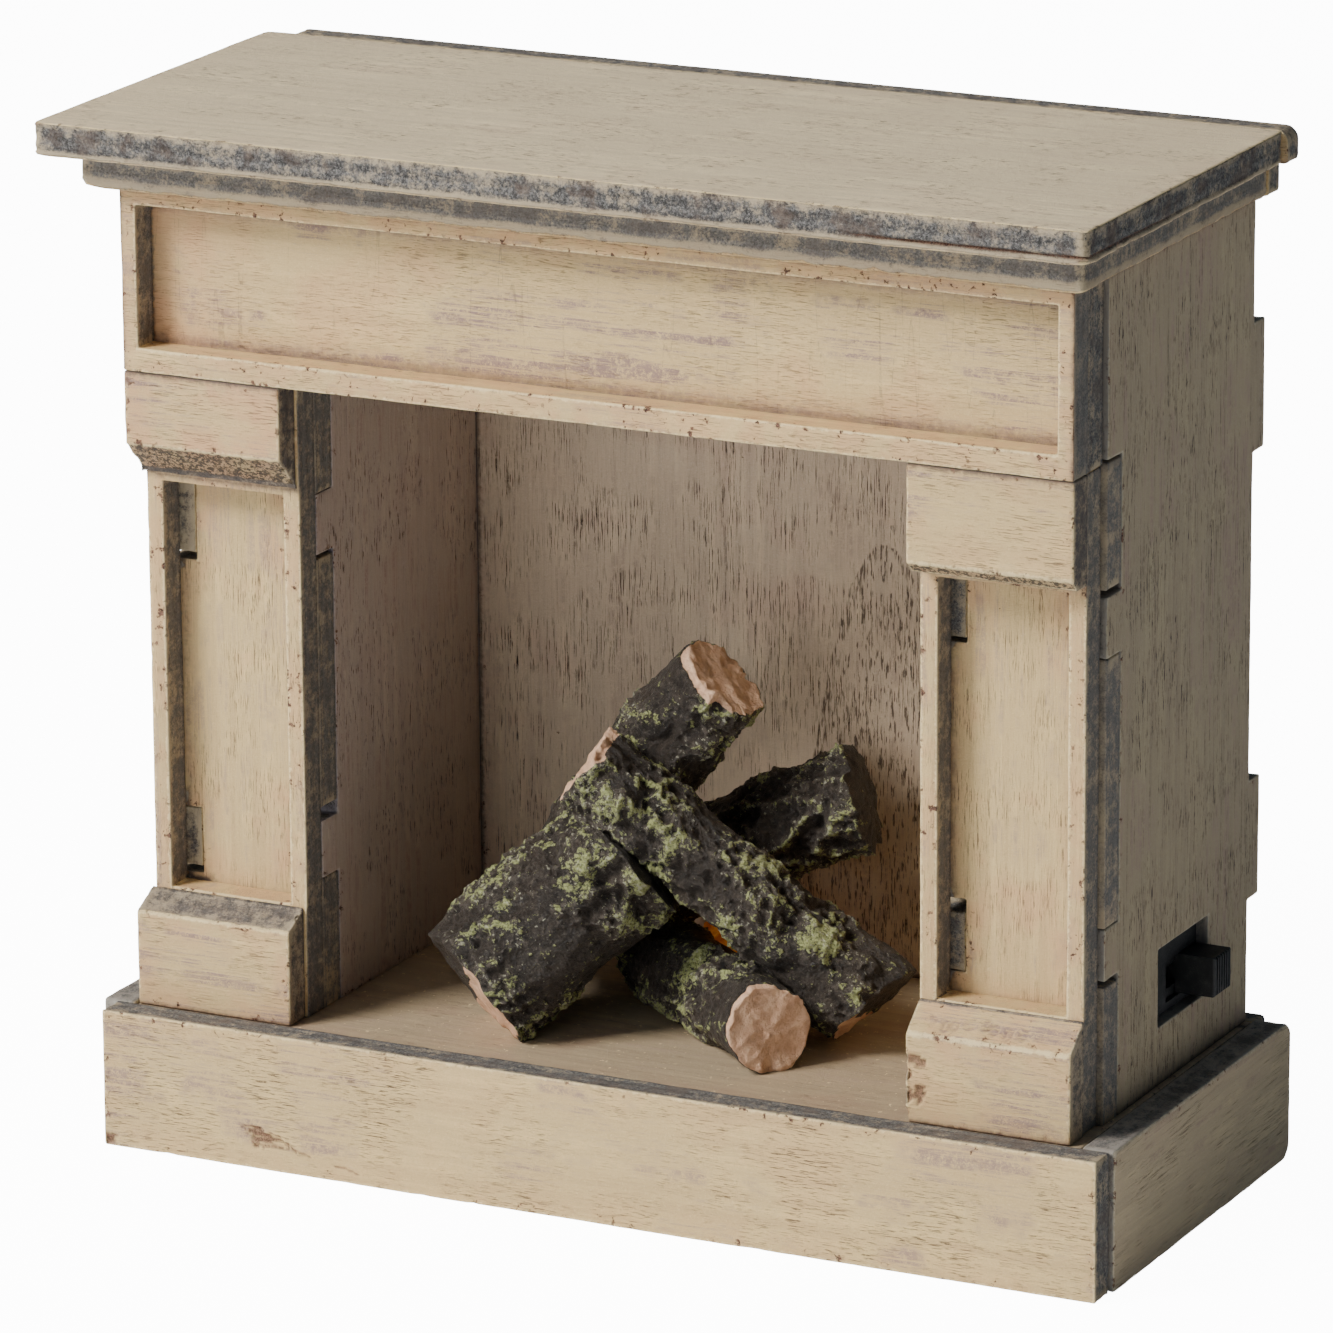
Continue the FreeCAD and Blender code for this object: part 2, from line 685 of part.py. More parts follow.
def ember_bed(pile):
    """Clear amber lump over the lamp, shaped to the logs round it."""
    lump = Part.makeCone(ember_radius, ember_top_radius, ember_height,
                         FreeCAD.Vector(lamp_x, lamp_y, floor_top))
    lump = lump.cut(cylinder(ember_bore, ember_bore_depth, (lamp_x, lamp_y, floor_top), (0, 0, 1)))
    for solid in pile.values():
        lump = lump.cut(solid)
    return max(lump.Solids, key=lambda piece: piece.Volume)


# ---- wires: each a list of route points, straight runs joined by tangent arcs ----
terminal_end = housing_back - terminal_pin
drop_x = terminal_end - wire_straight
tab_end_y = holder_front - contact_tab
tab_z = [z + contact_thick / 2 for z in contact_tab_z]
turn_y = tab_end_y - wire_straight
negative_route = [
    (holder_x, tab_end_y, tab_z[0]),
    (holder_x, turn_y, tab_z[0]),
    (holder_x, turn_y, lead_z),
    (holder_x - wire_run_negative, lamp_y + wire_spread_negative, lead_z),
    (lead_end, lamp_y + lead_pitch / 2, lead_z),
]
lamp_route = [
    (terminal_end, terminal_y[1], knob_z),
    (drop_x, terminal_y[1], knob_z),
    (drop_x, terminal_y[1], lead_z),
    (drop_x - wire_run_lamp, lamp_y + wire_spread_lamp, lead_z),
    (lead_end, lamp_y - lead_pitch / 2, lead_z),
]
positive_route = [
    (holder_x, tab_end_y, tab_z[1]),
    (holder_x, turn_y, tab_z[1]),
    (drop_x, terminal_y[0], tab_z[1] - wire_slant),
    (drop_x, terminal_y[0], knob_z),
    (terminal_end, terminal_y[0], knob_z),
]


def wire(route):
    """A round wire: straight runs joined by arcs of wire_bend, smaller where a run is short."""
    points = [FreeCAD.Vector(*point) for point in route]
    edges = []
    here = points[0]
    for before, corner, after in zip(points, points[1:], points[2:]):
        inward = (before - corner).normalize()
        outward = (after - corner).normalize()
        half_turn = (math.pi - inward.getAngle(outward)) / 2
        shorter = min((before - corner).Length, (after - corner).Length)
        longest = 0.45 * shorter if shorter < wire_bend * 2 else shorter / 2
        trim = min(wire_bend * math.tan(half_turn), longest)
        radius = trim / math.tan(half_turn)
        print("wire bend radius", round(radius, 2))
        arc_start = corner + inward * trim
        arc_end = corner + outward * trim
        middle = (inward + outward).normalize()
        arc_middle = corner + middle * (radius / math.cos(half_turn) - radius)
        edges.append(Part.LineSegment(here, arc_start).toShape())
        edges.append(Part.Arc(arc_start, arc_middle, arc_end).toShape())
        here = arc_end
    edges.append(Part.LineSegment(here, points[-1]).toShape())
    path = Part.Wire(edges)
    section = Part.Wire(Part.makeCircle(wire_radius, points[0], points[1] - points[0]))
    tube = path.makePipeShell([section], True, False)
    length_volume = math.pi * wire_radius ** 2 * path.Length
    print("wire length", round(path.Length, 1), "volume ratio", round(tube.Volume / length_volume, 4))
    return tube


def hearth_floor():
    """Board that everything stands on, bored for the lamp and for two wires."""
    board = box(side_left_inner + floor_gap_left, side_right_inner - floor_gap_right,
                front_board_back, body_depth, floor_bottom, floor_top)
    bores = [(lamp_x, lamp_y, lamp_radius + lamp_hole_clearance)]
    for route in (negative_route, lamp_route):
        bores.append((route[2][0], route[2][1], wire_hole_radius))
    holes = [cylinder(radius, ply + 2, (x, y, floor_bottom - 1), (0, 0, 1)) for x, y, radius in bores]
    return board.cut(holes)


# ---- plinth ----

def plinth_front():
    return box(-half_body - plinth_left, half_body + plinth_right, front_board_face, front_board_back,
               0, plinth_height)


def plinth_side_left():
    return box(side_left_outer, side_left_inner, front_board_back, side_back, 0, plinth_height)


def plinth_side_right():
    return box(side_right_inner, side_right_outer, front_board_back, side_back, 0, plinth_height)


# ---- the whole model ----
pile = log_pile()
nodes = {
    "top_board": top_board(),
    "bed_moulding": bed_moulding(),
    "frieze_frame": frieze_frame(),
    "frieze_panel": frieze_panel(),
    "cap_block_left": cap_block("left"),
    "cap_block_right": cap_block("right"),
    "base_block_left": base_block("left"),
    "base_block_right": base_block("right"),
    "pilaster_frame_left": pilaster_frame("left"),
    "pilaster_frame_right": pilaster_frame("right"),
    "front_panel": front_panel(),
    "side_wall_left": side_wall_left(),
    "side_wall_right": side_wall_right(),
    "firebox_wall_left": firebox_wall_left(),
    "firebox_wall_right": firebox_wall_right(),
    "firebox_back": firebox_back(),
    "back_panel": back_panel(),
    "hearth_floor": hearth_floor(),
    "plinth_front": plinth_front(),
    "plinth_side_left": plinth_side_left(),
    "plinth_side_right": plinth_side_right(),
    "ember_bed": ember_bed(pile),
    "flame_lamp": flame_lamp(),
    "lamp_leads": lamp_leads(),
    "switch_housing": switch_housing(),
    "switch_knob": switch_knob(),
    "switch_bridge": switch_bridge(),
    "switch_board": switch_board(),
    "switch_terminals": switch_terminals(),
    "battery_holder": battery_holder(),
    "battery_lid": battery_lid(),
    "battery_screws": battery_screws(),
    "battery_cell_lower": battery_cell(0),
    "battery_cell_upper": battery_cell(1),
    "battery_contact_bottom": battery_contact("bottom"),
    "battery_contact_top": battery_contact("top"),
    "wire_negative": wire(negative_route),
    "wire_lamp": wire(lamp_route),
    "wire_positive": wire(positive_route),
}
nodes.update(pile)

whole = Part.makeCompound(list(nodes.values())).BoundBox
to_origin = FreeCAD.Vector(-(whole.XMin + whole.XMax) / 2, -(whole.YMin + whole.YMax) / 2, -whole.ZMin)
print("size", round(whole.XLength, 2), round(whole.YLength, 2), round(whole.ZLength, 2),
      "moved by", [round(value, 3) for value in to_origin])

os.makedirs("parts", exist_ok=True)
for name, shape in nodes.items():
    shape.translate(to_origin)
    shape.exportStep("parts/" + name + ".step")
    print(name, len(shape.Solids), "solid(s)", round(shape.Volume, 1), "valid", shape.isValid())
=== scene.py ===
import math
import bpy
import numpy as np
from mathutils import Matrix, Vector
from mathutils.geometry import delaunay_2d_cdt


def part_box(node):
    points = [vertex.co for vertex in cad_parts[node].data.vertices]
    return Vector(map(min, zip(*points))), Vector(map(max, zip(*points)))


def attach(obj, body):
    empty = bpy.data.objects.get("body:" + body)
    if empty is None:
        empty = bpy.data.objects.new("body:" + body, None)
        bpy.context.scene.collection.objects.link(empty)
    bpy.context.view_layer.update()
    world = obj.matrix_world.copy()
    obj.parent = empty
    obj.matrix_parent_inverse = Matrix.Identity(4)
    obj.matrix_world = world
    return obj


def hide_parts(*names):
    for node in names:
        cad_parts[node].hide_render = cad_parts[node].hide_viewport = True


# A dolls' fireplace mantel: slot-and-tab plywood painted a chalky cream and rubbed
# back at its edges, a cast log fire, a slide switch and a battery compartment.
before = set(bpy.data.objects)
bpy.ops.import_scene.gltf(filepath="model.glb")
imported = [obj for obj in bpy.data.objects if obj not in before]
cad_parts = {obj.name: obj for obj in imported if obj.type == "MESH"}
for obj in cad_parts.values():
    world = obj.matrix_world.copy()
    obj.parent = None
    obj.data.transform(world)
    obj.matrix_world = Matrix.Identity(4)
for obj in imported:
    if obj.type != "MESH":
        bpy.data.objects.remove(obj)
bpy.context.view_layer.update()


def mm_box(node):
    """A CAD node's lowest and highest corners, in millimetres."""
    lo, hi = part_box(node)
    return np.array(lo) * 1000, np.array(hi) * 1000


# ---------------------------------------------------------------- camera
# A long lens a little above the shelf and to the right of the middle, so that the
# front, the right-hand end and the top of the shelf are all seen.
def in_scene(name, data):
    """A new object with this data, linked into the scene."""
    made = bpy.data.objects.new(name, data)
    bpy.context.scene.collection.objects.link(made)
    return made


camera_place = Vector((0.54295, -1.0945, 0.4259))
camera_target = Vector((-0.00053, -0.00195, 0.07402))
camera_roll = math.radians(-0.39)
camera_data = bpy.data.cameras.new("camera")
camera_data.lens = 235.4
camera_data.sensor_width = 36.0
camera_data.clip_end = 10.0
camera = in_scene("camera", camera_data)
aim = (camera_target - camera_place).to_track_quat("-Z", "Y").to_matrix().to_4x4()
camera.matrix_world = Matrix.Translation(camera_place) @ aim @ Matrix.Rotation(camera_roll, 4, "Z")
bpy.context.scene.camera = camera

# ---------------------------------------------------------------- studio
# A plain pale sweep of paper for a floor, a large soft lamp high on the left of the
# front, and a dim sky that leaves the right-hand end of the mantel in shade.
class Shader:
    """A node tree with one short method for each kind of node. An input is a constant or a socket
    to link, and a method gives back the socket that holds its result."""

    def __init__(self, holder):
        """The holder is a material or a world, cleared of its first nodes, or a node group's tree."""
        self.holder = self.tree = holder
        if not isinstance(holder, bpy.types.NodeTree):
            holder.use_nodes = True
            self.tree = holder.node_tree
            self.tree.nodes.clear()

    def node(self, kind, values=None, **settings):
        """All the outputs of a new node with these inputs and settings."""
        made = self.tree.nodes.new("ShaderNode" + kind)
        for key, value in settings.items():
            setattr(made, key, value)
        for key, value in (values or {}).items():
            if isinstance(value, bpy.types.NodeSocket):
                self.tree.links.new(value, made.inputs[key])
            else:
                made.inputs[key].default_value = value
        return made.outputs

    def maths(self, operation, first, second=0.0, third=0.0, clamp=False):
        return self.node("Math", {0: first, 1: second, 2: third}, operation=operation, use_clamp=clamp)[0]

    def mul(self, first, second, clamp=False):
        return self.maths("MULTIPLY", first, second, clamp=clamp)

    def mul_add(self, first, second, third, clamp=False):
        return self.maths("MULTIPLY_ADD", first, second, third, clamp)

    def weigh(self, total, *terms):
        """The total plus each term's value times its weight."""
        for value, weight in terms:
            total = self.mul_add(value, weight, total)
        return total

    def vector(self, operation, first, second):
        return self.node("VectorMath", {0: first, 1: second}, operation=operation)[0]

    def millimetres(self):
        """The piece's own coordinates, in millimetres."""
        return self.vector("MULTIPLY", self.node("TexCoord")["Object"], (1000, 1000, 1000))

    def axis(self, letter, place):
        return self.node("SeparateXYZ", {0: place})[letter]

    def mark(self, name):
        """A value kept on the mesh's points."""
        return self.node("Attribute", attribute_name=name)["Fac"]

    def noise(self, vector, scale, detail=3.0, rough=0.55):
        return self.node("TexNoise", {"Vector": vector, "Scale": scale, "Detail": detail, "Roughness": rough})[0]

    def ramp(self, value, low, high, bottom, top):
        """A straight run from bottom at low to top at high."""
        return self.node("MapRange", {"Value": value, "From Min": low, "From Max": high,
                                      "To Min": bottom, "To Max": top})[0]

    def rise(self, value, low, high, top=1.0):
        """A smooth rise from 0 at low to top at high."""
        return self.node("MapRange", {"Value": value, "From Min": low, "From Max": high, "To Max": top},
                         interpolation_type="SMOOTHSTEP")[0]

    def over(self, share, under, upper):
        """The upper colour laid over the under one by a share."""
        under, upper = (c if isinstance(c, bpy.types.NodeSocket) else (*c, 1) for c in (under, upper))
        return self.node("Mix", {0: share, 6: under, 7: upper}, data_type="RGBA")[2]

    def coats(self, colour, *layers):
        """A colour with each layer's colour laid over it in turn by that layer's share."""
        for share, upper in layers:
            colour = self.over(share, colour, upper)
        return colour

    def bump(self, strength, distance, height):
        return self.node("Bump", {"Strength": strength, "Distance": distance, "Height": height})[0]

    def for_camera(self, otherwise, seen):
        """The second shader where the camera looks straight at it, the first for all other light."""
        camera_ray = self.node("LightPath")["Is Camera Ray"]
        return self.node("MixShader", {0: camera_ray, 1: otherwise, 2: seen})[0]

    def finished(self, surface):
        """The material, with its surface a shader or the inputs of a principled one."""
        if isinstance(surface, dict):
            surface = self.node("BsdfPrincipled", surface)[0]
        self.node("OutputMaterial", {"Surface": surface})
        return self.holder


def soft_lamp(name, place, target, size, power, colour):
    """A square area lamp at a place, turned to a target; power in watts."""
    data = bpy.data.lights.new(name, "AREA")
    data.size = size
    data.energy = power
    data.color = colour
    lamp = in_scene(name, data)
    lamp.location = place
    lamp.rotation_euler = (Vector(target) - Vector(place)).to_track_quat("-Z", "Y").to_euler()


soft_lamp("key_lamp", (-0.80, -0.95, 1.12), (0.0, 0.0, 0.06), 0.55, 40.0, (1.0, 0.985, 0.965))
soft_lamp("fill_lamp", (-0.35, -1.6, 0.28), (0.0, 0.0, 0.07), 0.7, 7.0, (0.97, 0.985, 1.0))

sky = Shader(bpy.data.worlds.new("studio_sky"))
bpy.context.scene.world = sky.holder
seen_sky = sky.node("Background", {"Color": (1.0, 1.0, 1.0, 1.0), "Strength": 5.0})[0]
lit_sky = sky.node("Background", {"Color": (0.66, 0.82, 1.0, 1.0), "Strength": 0.14})[0]
sky.node("OutputWorld", {"Surface": sky.for_camera(lit_sky, seen_sky)})

floor_reach = 6.0
floor_mesh = bpy.data.meshes.new("paper_floor")
floor_mesh.from_pydata([(x * floor_reach, y * floor_reach, 0) for x, y in ((-1, -1), (1, -1), (1, 1), (-1, 1))],
                       [], [(0, 1, 2, 3)])
floor = in_scene("paper_floor", floor_mesh)
paper = Shader(bpy.data.materials.new("pale_paper"))
paper_tooth = paper.node("TexNoise", {"Scale": 900.0, "Detail": 3.0})[0]
paper_tone = paper.ramp(paper_tooth, 0.0, 1.0, 0.86, 0.9)
paper_colour = paper.node("CombineColor", dict.fromkeys(("Red", "Green", "Blue"), paper_tone))[0]
paper_skin = paper.node("BsdfPrincipled", {"Base Color": paper_colour, "Roughness": 0.9, "Emission Strength": 0.16,
                                           "Emission Color": (0.90, 0.95, 1.0, 1.0)})[0]
paper_lit = paper.node("Emission", {"Color": (1.0, 1.0, 1.0, 1.0), "Strength": 12.0})[0]
paper_both = paper.node("AddShader", {0: paper_skin, 1: paper_lit})[0]
floor_mesh.materials.append(paper.finished(paper.for_camera(paper_skin, paper_both)))

# ---------------------------------------------------------------- shelf
# The shelf is one rectangle of 5 mm plywood, laid on the bed moulding and glued. Its
# front edge shows the bare layers, stained dark, and the lowest one has split away
# towards the right-hand corner.
HASH_PRIMES = np.array([73856093, 19349663, 83492791])
HASH_TOP = 0xFFFFFF


def soft_noise(points, cell, seed):
    """Value noise from -1 to 1: each corner of the cubic cell round a point has a hashed
    height, and the eight heights are mixed with smooth cubic weights."""
    place = np.asarray(points, float) / cell
    whole = np.floor(place).astype(np.int64)
    part = place - whole
    part = part * part * (3 - 2 * part)
    total = np.zeros(len(place))
    for corner in range(8):
        step = np.array([corner & 1, (corner >> 1) & 1, corner >> 2])
        mixed = np.bitwise_xor.reduce((whole + step) * HASH_PRIMES, axis=1) ^ (seed * 40503 + 977)
        mixed = (mixed ^ (mixed >> 13)) * 1274126177
        mixed = (mixed ^ (mixed >> 16)) & HASH_TOP
        total += np.where(step, part, 1 - part).prod(axis=1) * (mixed / HASH_TOP)
    return 2 * total - 1


def inset_corners(corners, inset):
    """Each corner moved into the material along its mitre: corner plus inset times
    (n1 + n2) / (1 + n1.n2), n1 and n2 the left-hand normals of its two sides."""
    corners = np.asarray(corners, float)
    before = corners - np.roll(corners, 1, axis=0)
    after = np.roll(corners, -1, axis=0) - corners
    n1 = np.stack([-before[:, 1], before[:, 0]], 1) / np.linalg.norm(before, axis=1)[:, None]
    n2 = np.stack([-after[:, 1], after[:, 0]], 1) / np.linalg.norm(after, axis=1)[:, None]
    return corners + inset * (n1 + n2) / (1 + (n1 * n2).sum(1))[:, None]


def walk_outline(corners, counts, rounding):
    """Points round a closed outline: each side in equal steps, each corner cut to the middle
    of a small curve, and for each point its distance to the nearest corner."""
    after = np.roll(corners, -1, axis=0)
    length = np.linalg.norm(after - corners, axis=1)
    way = (after - corners) / length[:, None]
    trim = np.minimum(rounding, 0.3 * length)
    points, reach = [], []
    for side in range(len(corners)):
        share = np.linspace(0, 1, counts[side])
        start = corners[side] + way[side] * trim[side]
        end = after[side] - way[side] * trim[side]
        points.append(start + (end - start) * share[:, None])
        reach.append(np.minimum(share, 1 - share) * length[side] + 0.3 * trim[side])
        turn = (side + 1) % len(corners)
        leave = after[side] + way[turn] * trim[turn]
        points.append((0.25 * end + 0.5 * after[side] + 0.25 * leave)[None])
        reach.append(np.zeros(1))
    return np.concatenate(points), np.concatenate(reach)


def distance_to_outline(points, loops):
    """Shortest distance from each point to any side of the loops."""
    nearest = np.full(len(points), 1e9)
    for loop in loops:
        for start, end in zip(loop, np.roll(loop, -1, axis=0)):
            run = end - start
            share = np.clip(((points - start) @ run) / (run @ run), 0, 1)
            nearest = np.minimum(nearest, np.linalg.norm(points - start - share[:, None] * run, axis=1))
    return nearest


def inside_outline(points, loops):
    """True where a ray to the right crosses the loops an odd number of times."""
    crossings = np.zeros(len(points), int)
    for loop in loops:
        for start, end in zip(loop, np.roll(loop, -1, axis=0)):
            if start[1] != end[1]:
                between = (points[:, 1] > min(start[1], end[1])) & (points[:, 1] <= max(start[1], end[1]))
                at = start[0] + (points[:, 1] - start[1]) / (end[1] - start[1]) * (end[0] - start[0])
                crossings += between & (at > points[:, 0])
    return crossings % 2 == 1


def vertex_normals(points, triangles):
    """Area-weighted mean normal at each point."""
    a, b, c = (points[triangles[:, k]] for k in range(3))
    face = np.cross(b - a, c - a)
    total = np.zeros_like(points)
    for k in range(3):
        np.add.at(total, triangles[:, k], face)
    return total / np.maximum(np.linalg.norm(total, axis=1), 1e-12)[:, None]


def smooth_step(value, low, high):
    share = np.clip((value - low) / (high - low), 0, 1)
    return share * share * (3 - 2 * share)


def ring_bands(rows, following):
    """Triangles between each ring of points and the next; following is each point's next one round."""
    count = len(following)
    start = np.arange(rows - 1)[:, None] * count
    here, beside = start + np.arange(count), start + following
    halves = [np.stack([here, here + count, beside + count], -1), np.stack([here, beside + count, beside], -1)]
    return np.stack(halves, 1).reshape(-1, 3)


def with_level(points, level):
    """Points of a plane with a third coordinate, one for all or one for each."""
    return np.column_stack([points, np.broadcast_to(level, len(points))])


def make_piece(name, points, triangles, marks, material, body, slot_name, nodes):
    """A mesh object from points in millimetres, with a float attribute for each mark."""
    mesh = bpy.data.meshes.new(name)
    mesh.from_pydata((points * 0.001).tolist(), [], triangles.tolist())
    for key, values in marks.items():
        mesh.attributes.new(key, "FLOAT", "POINT").data.foreach_set("value", values.astype(np.float32))
    mesh.polygons.foreach_set("use_smooth", np.ones(len(mesh.polygons), bool))
    mesh.materials.append(material)
    mesh.update()
    piece = in_scene(name, mesh)
    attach(piece, body)
    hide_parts(*nodes)


PLANES = {0: (1, 2), 1: (0, 2), 2: (0, 1)}
QUARTER = 0.29            # how far in and down the middle of a quarter round lies, in radii
MITRE_TEST = 0.4          # the inset that measures which way the corners move
SECOND_RING = 0.95        # how far in a face's second ring lies
LAYER_PITCH = 2.0         # two layers of the plywood, one with each direction of grain
LARGEST_ARRIS = 0.42      # share of the thickness


def rectangle(lo, hi, across):
    """The four corners of a box seen along an axis."""
    u, v = PLANES[across]
    return [(lo[u], lo[v]), (hi[u], lo[v]), (hi[u], hi[v]), (lo[u], hi[v])]


def worn_board(name, node, across, material, outer=None, holes=(), sheet=None, arris=(0.32, 0.32),
               seed=1, step=1.0, grid=3.2, second_ring=True, fine=(), rim_step=0.75, rough=0.06, wobble=0.07,
               chips=0.5, damage=None, slot_name="painted_ply", rounding=0.3, face_edge=(0.45, 0.9),
               seams=(), nook_loops=(), nook_width=1.3, buried=(False, True)):
    """A board worn at its edges. The outer outline, the node's box if none is given, lies in the
    plane square to the axis "across" and is carried from one face to the other in rings. The first
    and last rings lie in the faces, inset by the arris radius r; the next lie on a quarter round,
    inset and depth both 0.29 r; then inset 0, depth r. Radius is r (1 + 0.35 noise) plus chips where
    a finer noise peaks. The faces are filled by triangles over the rings and a grid of points. The
    arrises on a buried side, front or back, lie against another board and are marked as stained."""
    lo, hi = mm_box(node)
    low, high = lo[across], hi[across]
    thick = high - low
    plane = PLANES[across]
    sheet = across if sheet is None else sheet
    loops = []
    for loop in (outer or rectangle(lo, hi, across), *holes):
        loop = np.asarray(loop, float)
        after = np.roll(loop, -1, axis=0)
        area = (loop[:, 0] * after[:, 1] - after[:, 0] * loop[:, 1]).sum()
        anticlockwise = not loops                   # the outer one; the holes run the other way
        loops.append(loop if (area > 0) == anticlockwise else loop[::-1].copy())
    base, mitre, reach, following = [], [], [], []
    for loop in loops:
        length = np.linalg.norm(np.roll(loop, -1, axis=0) - loop, axis=1)
        counts = np.maximum(2, np.round(length / step).astype(int))
        at_zero, run = walk_outline(loop, counts, rounding)
        at_inset, _ = walk_outline(inset_corners(loop, MITRE_TEST), counts, rounding)
        following.append(sum(map(len, reach)) + np.roll(np.arange(len(run)), -1))
        base.append(at_zero)
        mitre.append((at_inset - at_zero) / MITRE_TEST)
        reach.append(run)
    loop_ends = np.cumsum([len(run) for run in reach])[:-1]
    base, mitre, reach, following = map(np.concatenate, (base, mitre, reach, following))
    base = base + mitre * (wobble * (0.5 + 0.5 * soft_noise(with_level(base, 0.0), 11.0, seed)))[:, None]
    count = len(base)
    walk = np.arange(count)

    radius = []
    for side, size in enumerate(arris):
        spot = with_level(base, side * 50.0)        # far apart, so that the two faces wear differently
        worn = size * (1 + 0.35 * soft_noise(spot, 2.3, seed + 3))
        peak = np.maximum(0, soft_noise(spot, 1.7, seed + 7) - 0.45)
        lump = np.maximum(0, soft_noise(spot, 9.0, seed + 9))
        radius.append(np.minimum(worn + chips * peak * (0.3 + lump), LARGEST_ARRIS * thick))
    under, upper = radius
    rings = [with_level(base + mitre * (inset * upper)[:, None], high - depth * upper)
             for inset, depth in ((1.0, 0.0), (QUARTER, QUARTER), (0.0, 1.0))]
    for share in np.linspace(0, 1, max(2, int(round(thick / rim_step))) + 1)[1:-1]:
        depth = high - upper + (low + under - (high - upper)) * share
        layer = 0.5 + 0.5 * np.sin(depth * 2 * np.pi / LAYER_PITCH)
        grit = 0.5 + 0.5 * soft_noise(with_level(base, depth * 1.7), 1.3, seed + 11)
        rings.append(with_level(base + mitre * (rough * (0.35 * layer + grit))[:, None], depth))
    rings += [with_level(base + mitre * (inset * under)[:, None], low + depth * under)
              for inset, depth in ((0.0, 1.0), (QUARTER, QUARTER), (1.0, 0.0))]
    rim = np.concatenate(rings)

    us, vs = (np.arange(loops[0][:, k].min() + grid / 2, loops[0][:, k].max(), grid) for k in (0, 1))
    field = np.stack(np.meshgrid(us, vs), -1).reshape(-1, 2)
    for u0, u1, v0, v1, close in fine:
        outside = (field[:, 0] < u0) | (field[:, 0] > u1) | (field[:, 1] < v0) | (field[:, 1] > v1)
        patch = np.stack(np.meshgrid(np.arange(u0, u1, close), np.arange(v0, v1, close)), -1).reshape(-1, 2)
        field = np.concatenate([field[outside], patch])
    clear = 1.3 if second_ring else 0.6             # from the outline to the grid's first points
    field = field[inside_outline(field, loops) & (distance_to_outline(field, loops) > clear)]
    inner = [base + mitre * SECOND_RING] if second_ring else []
    flat = np.concatenate([base + mitre * arris[1], *inner, field])
    sides = np.stack([walk, following], 1)
    made = delaunay_2d_cdt([Vector(p) for p in flat.tolist()], sides.tolist(), [], 0, 1e-7, True)
    back = np.array([ids[0] if ids else np.argmin(((flat - spot) ** 2).sum(1))
                     for ids, spot in zip(made[3], np.array([tuple(v) for v in made[0]]))])
    triangles = back[np.array([face for face in made[2] if len(face) == 3])]
    triangles = triangles[inside_outline(flat[triangles].mean(1), np.split(flat[:count], loop_ends))]
    a, b, c = (flat[triangles[:, k]] for k in range(3))
    turn = (b - a)[:, 0] * (c - a)[:, 1] - (b - a)[:, 1] * (c - a)[:, 0]
    triangles[turn < 0] = triangles[turn < 0][:, ::-1]

    points, faces, total = [rim], [ring_bands(len(rings), following)], len(rim)
    for level, worn, first, turned in ((high, upper, 0, 1), (low, under, len(rim) - count, -1)):
        index = [first + walk]
        inner = [base + mitre * np.maximum(SECOND_RING, worn + 0.25)[:, None]] if second_ring else []
        for more in (*inner, field):
            points.append(with_level(more, level))
            index.append(total + np.arange(len(more)))
            total += len(more)
        faces.append(np.concatenate(index)[triangles][:, ::turned])
    flat, faces = np.concatenate(points), np.concatenate(faces)
    if across == 1:
        faces = faces[:, ::-1]
    place = np.empty_like(flat)
    place[:, plane[0]], place[:, plane[1]], place[:, across] = flat.T
    normals = vertex_normals(place, faces)

    in_plane = np.concatenate([np.zeros(len(rim)), distance_to_outline(flat[len(rim):, :2], loops)])
    in_plane[:count] = upper
    in_plane[len(rim) - count:len(rim)] = under
    edge_distance = in_plane + np.minimum(flat[:, 2] - low, high - flat[:, 2])
    edge_distance[:len(rim)] = np.minimum(edge_distance[:len(rim)], np.tile(reach, len(rings)) + 0.05)
    # nook is 1 at a seam's plane or a window's outline and falls away over the width; the paint darkens there, as
    # dirt and as painted shade.
    nook = np.zeros(len(place))
    for direction, level, width in seams:
        nook = np.maximum(nook, np.exp(-np.abs(place[:, direction] - level) / width))
    in_nook = np.zeros(len(place), bool)
    if nook_loops:
        nook_loops = [np.asarray(loop, float) for loop in nook_loops]
        nook = np.maximum(nook, np.exp(-distance_to_outline(place[:, plane], nook_loops) / nook_width))
        in_nook = inside_outline(place[:, plane], nook_loops)
    marks = {"arris": edge_distance, "ply_edge": 1 - smooth_step(np.abs(normals[:, sheet]), *face_edge),
             "depth": place[:, sheet] - lo[sheet], "nook": nook}
    for level, hidden in zip((lo[1], hi[1]), buried):
        if hidden and sheet == 1:
            close = smooth_step(0.75 - np.abs(place[:, 1] - level), 0.0, 0.4) * (edge_distance < 1.5) * ~in_nook
            marks["ply_edge"] = np.maximum(marks["ply_edge"], close)
            marks["arris"] = marks["arris"] + 3 * close
    if damage:
        place = damage(place, normals, marks)
    make_piece(name, place, faces, marks, material, "mantel", slot_name, [node])


def group_shader(name, inputs, build):
    """A node group. Inputs names its sockets, each with a number, a vector or, for a place that is
    always linked, None; build gets the shader and those sockets and gives its outputs by name."""
    tree = bpy.data.node_groups.new(name, "ShaderNodeTree")
    for key, value in inputs.items():
        kind = "NodeSocketFloat" if isinstance(value, float) else "NodeSocketVector"
        socket = tree.interface.new_socket(key, in_out="INPUT", socket_type=kind)
        if value is not None:
            socket.default_value = value
    made = build(Shader(tree), tree.nodes.new("NodeGroupInput").outputs)
    for key, socket in made.items():
        kind = "NodeSocketColor" if socket.type == "RGBA" else "NodeSocketFloat"
        tree.interface.new_socket(key, in_out="OUTPUT", socket_type=kind)
    leaving = tree.nodes.new("NodeGroupOutput")
    for key, socket in made.items():
        tree.links.new(socket, leaving.inputs[key])
    return tree


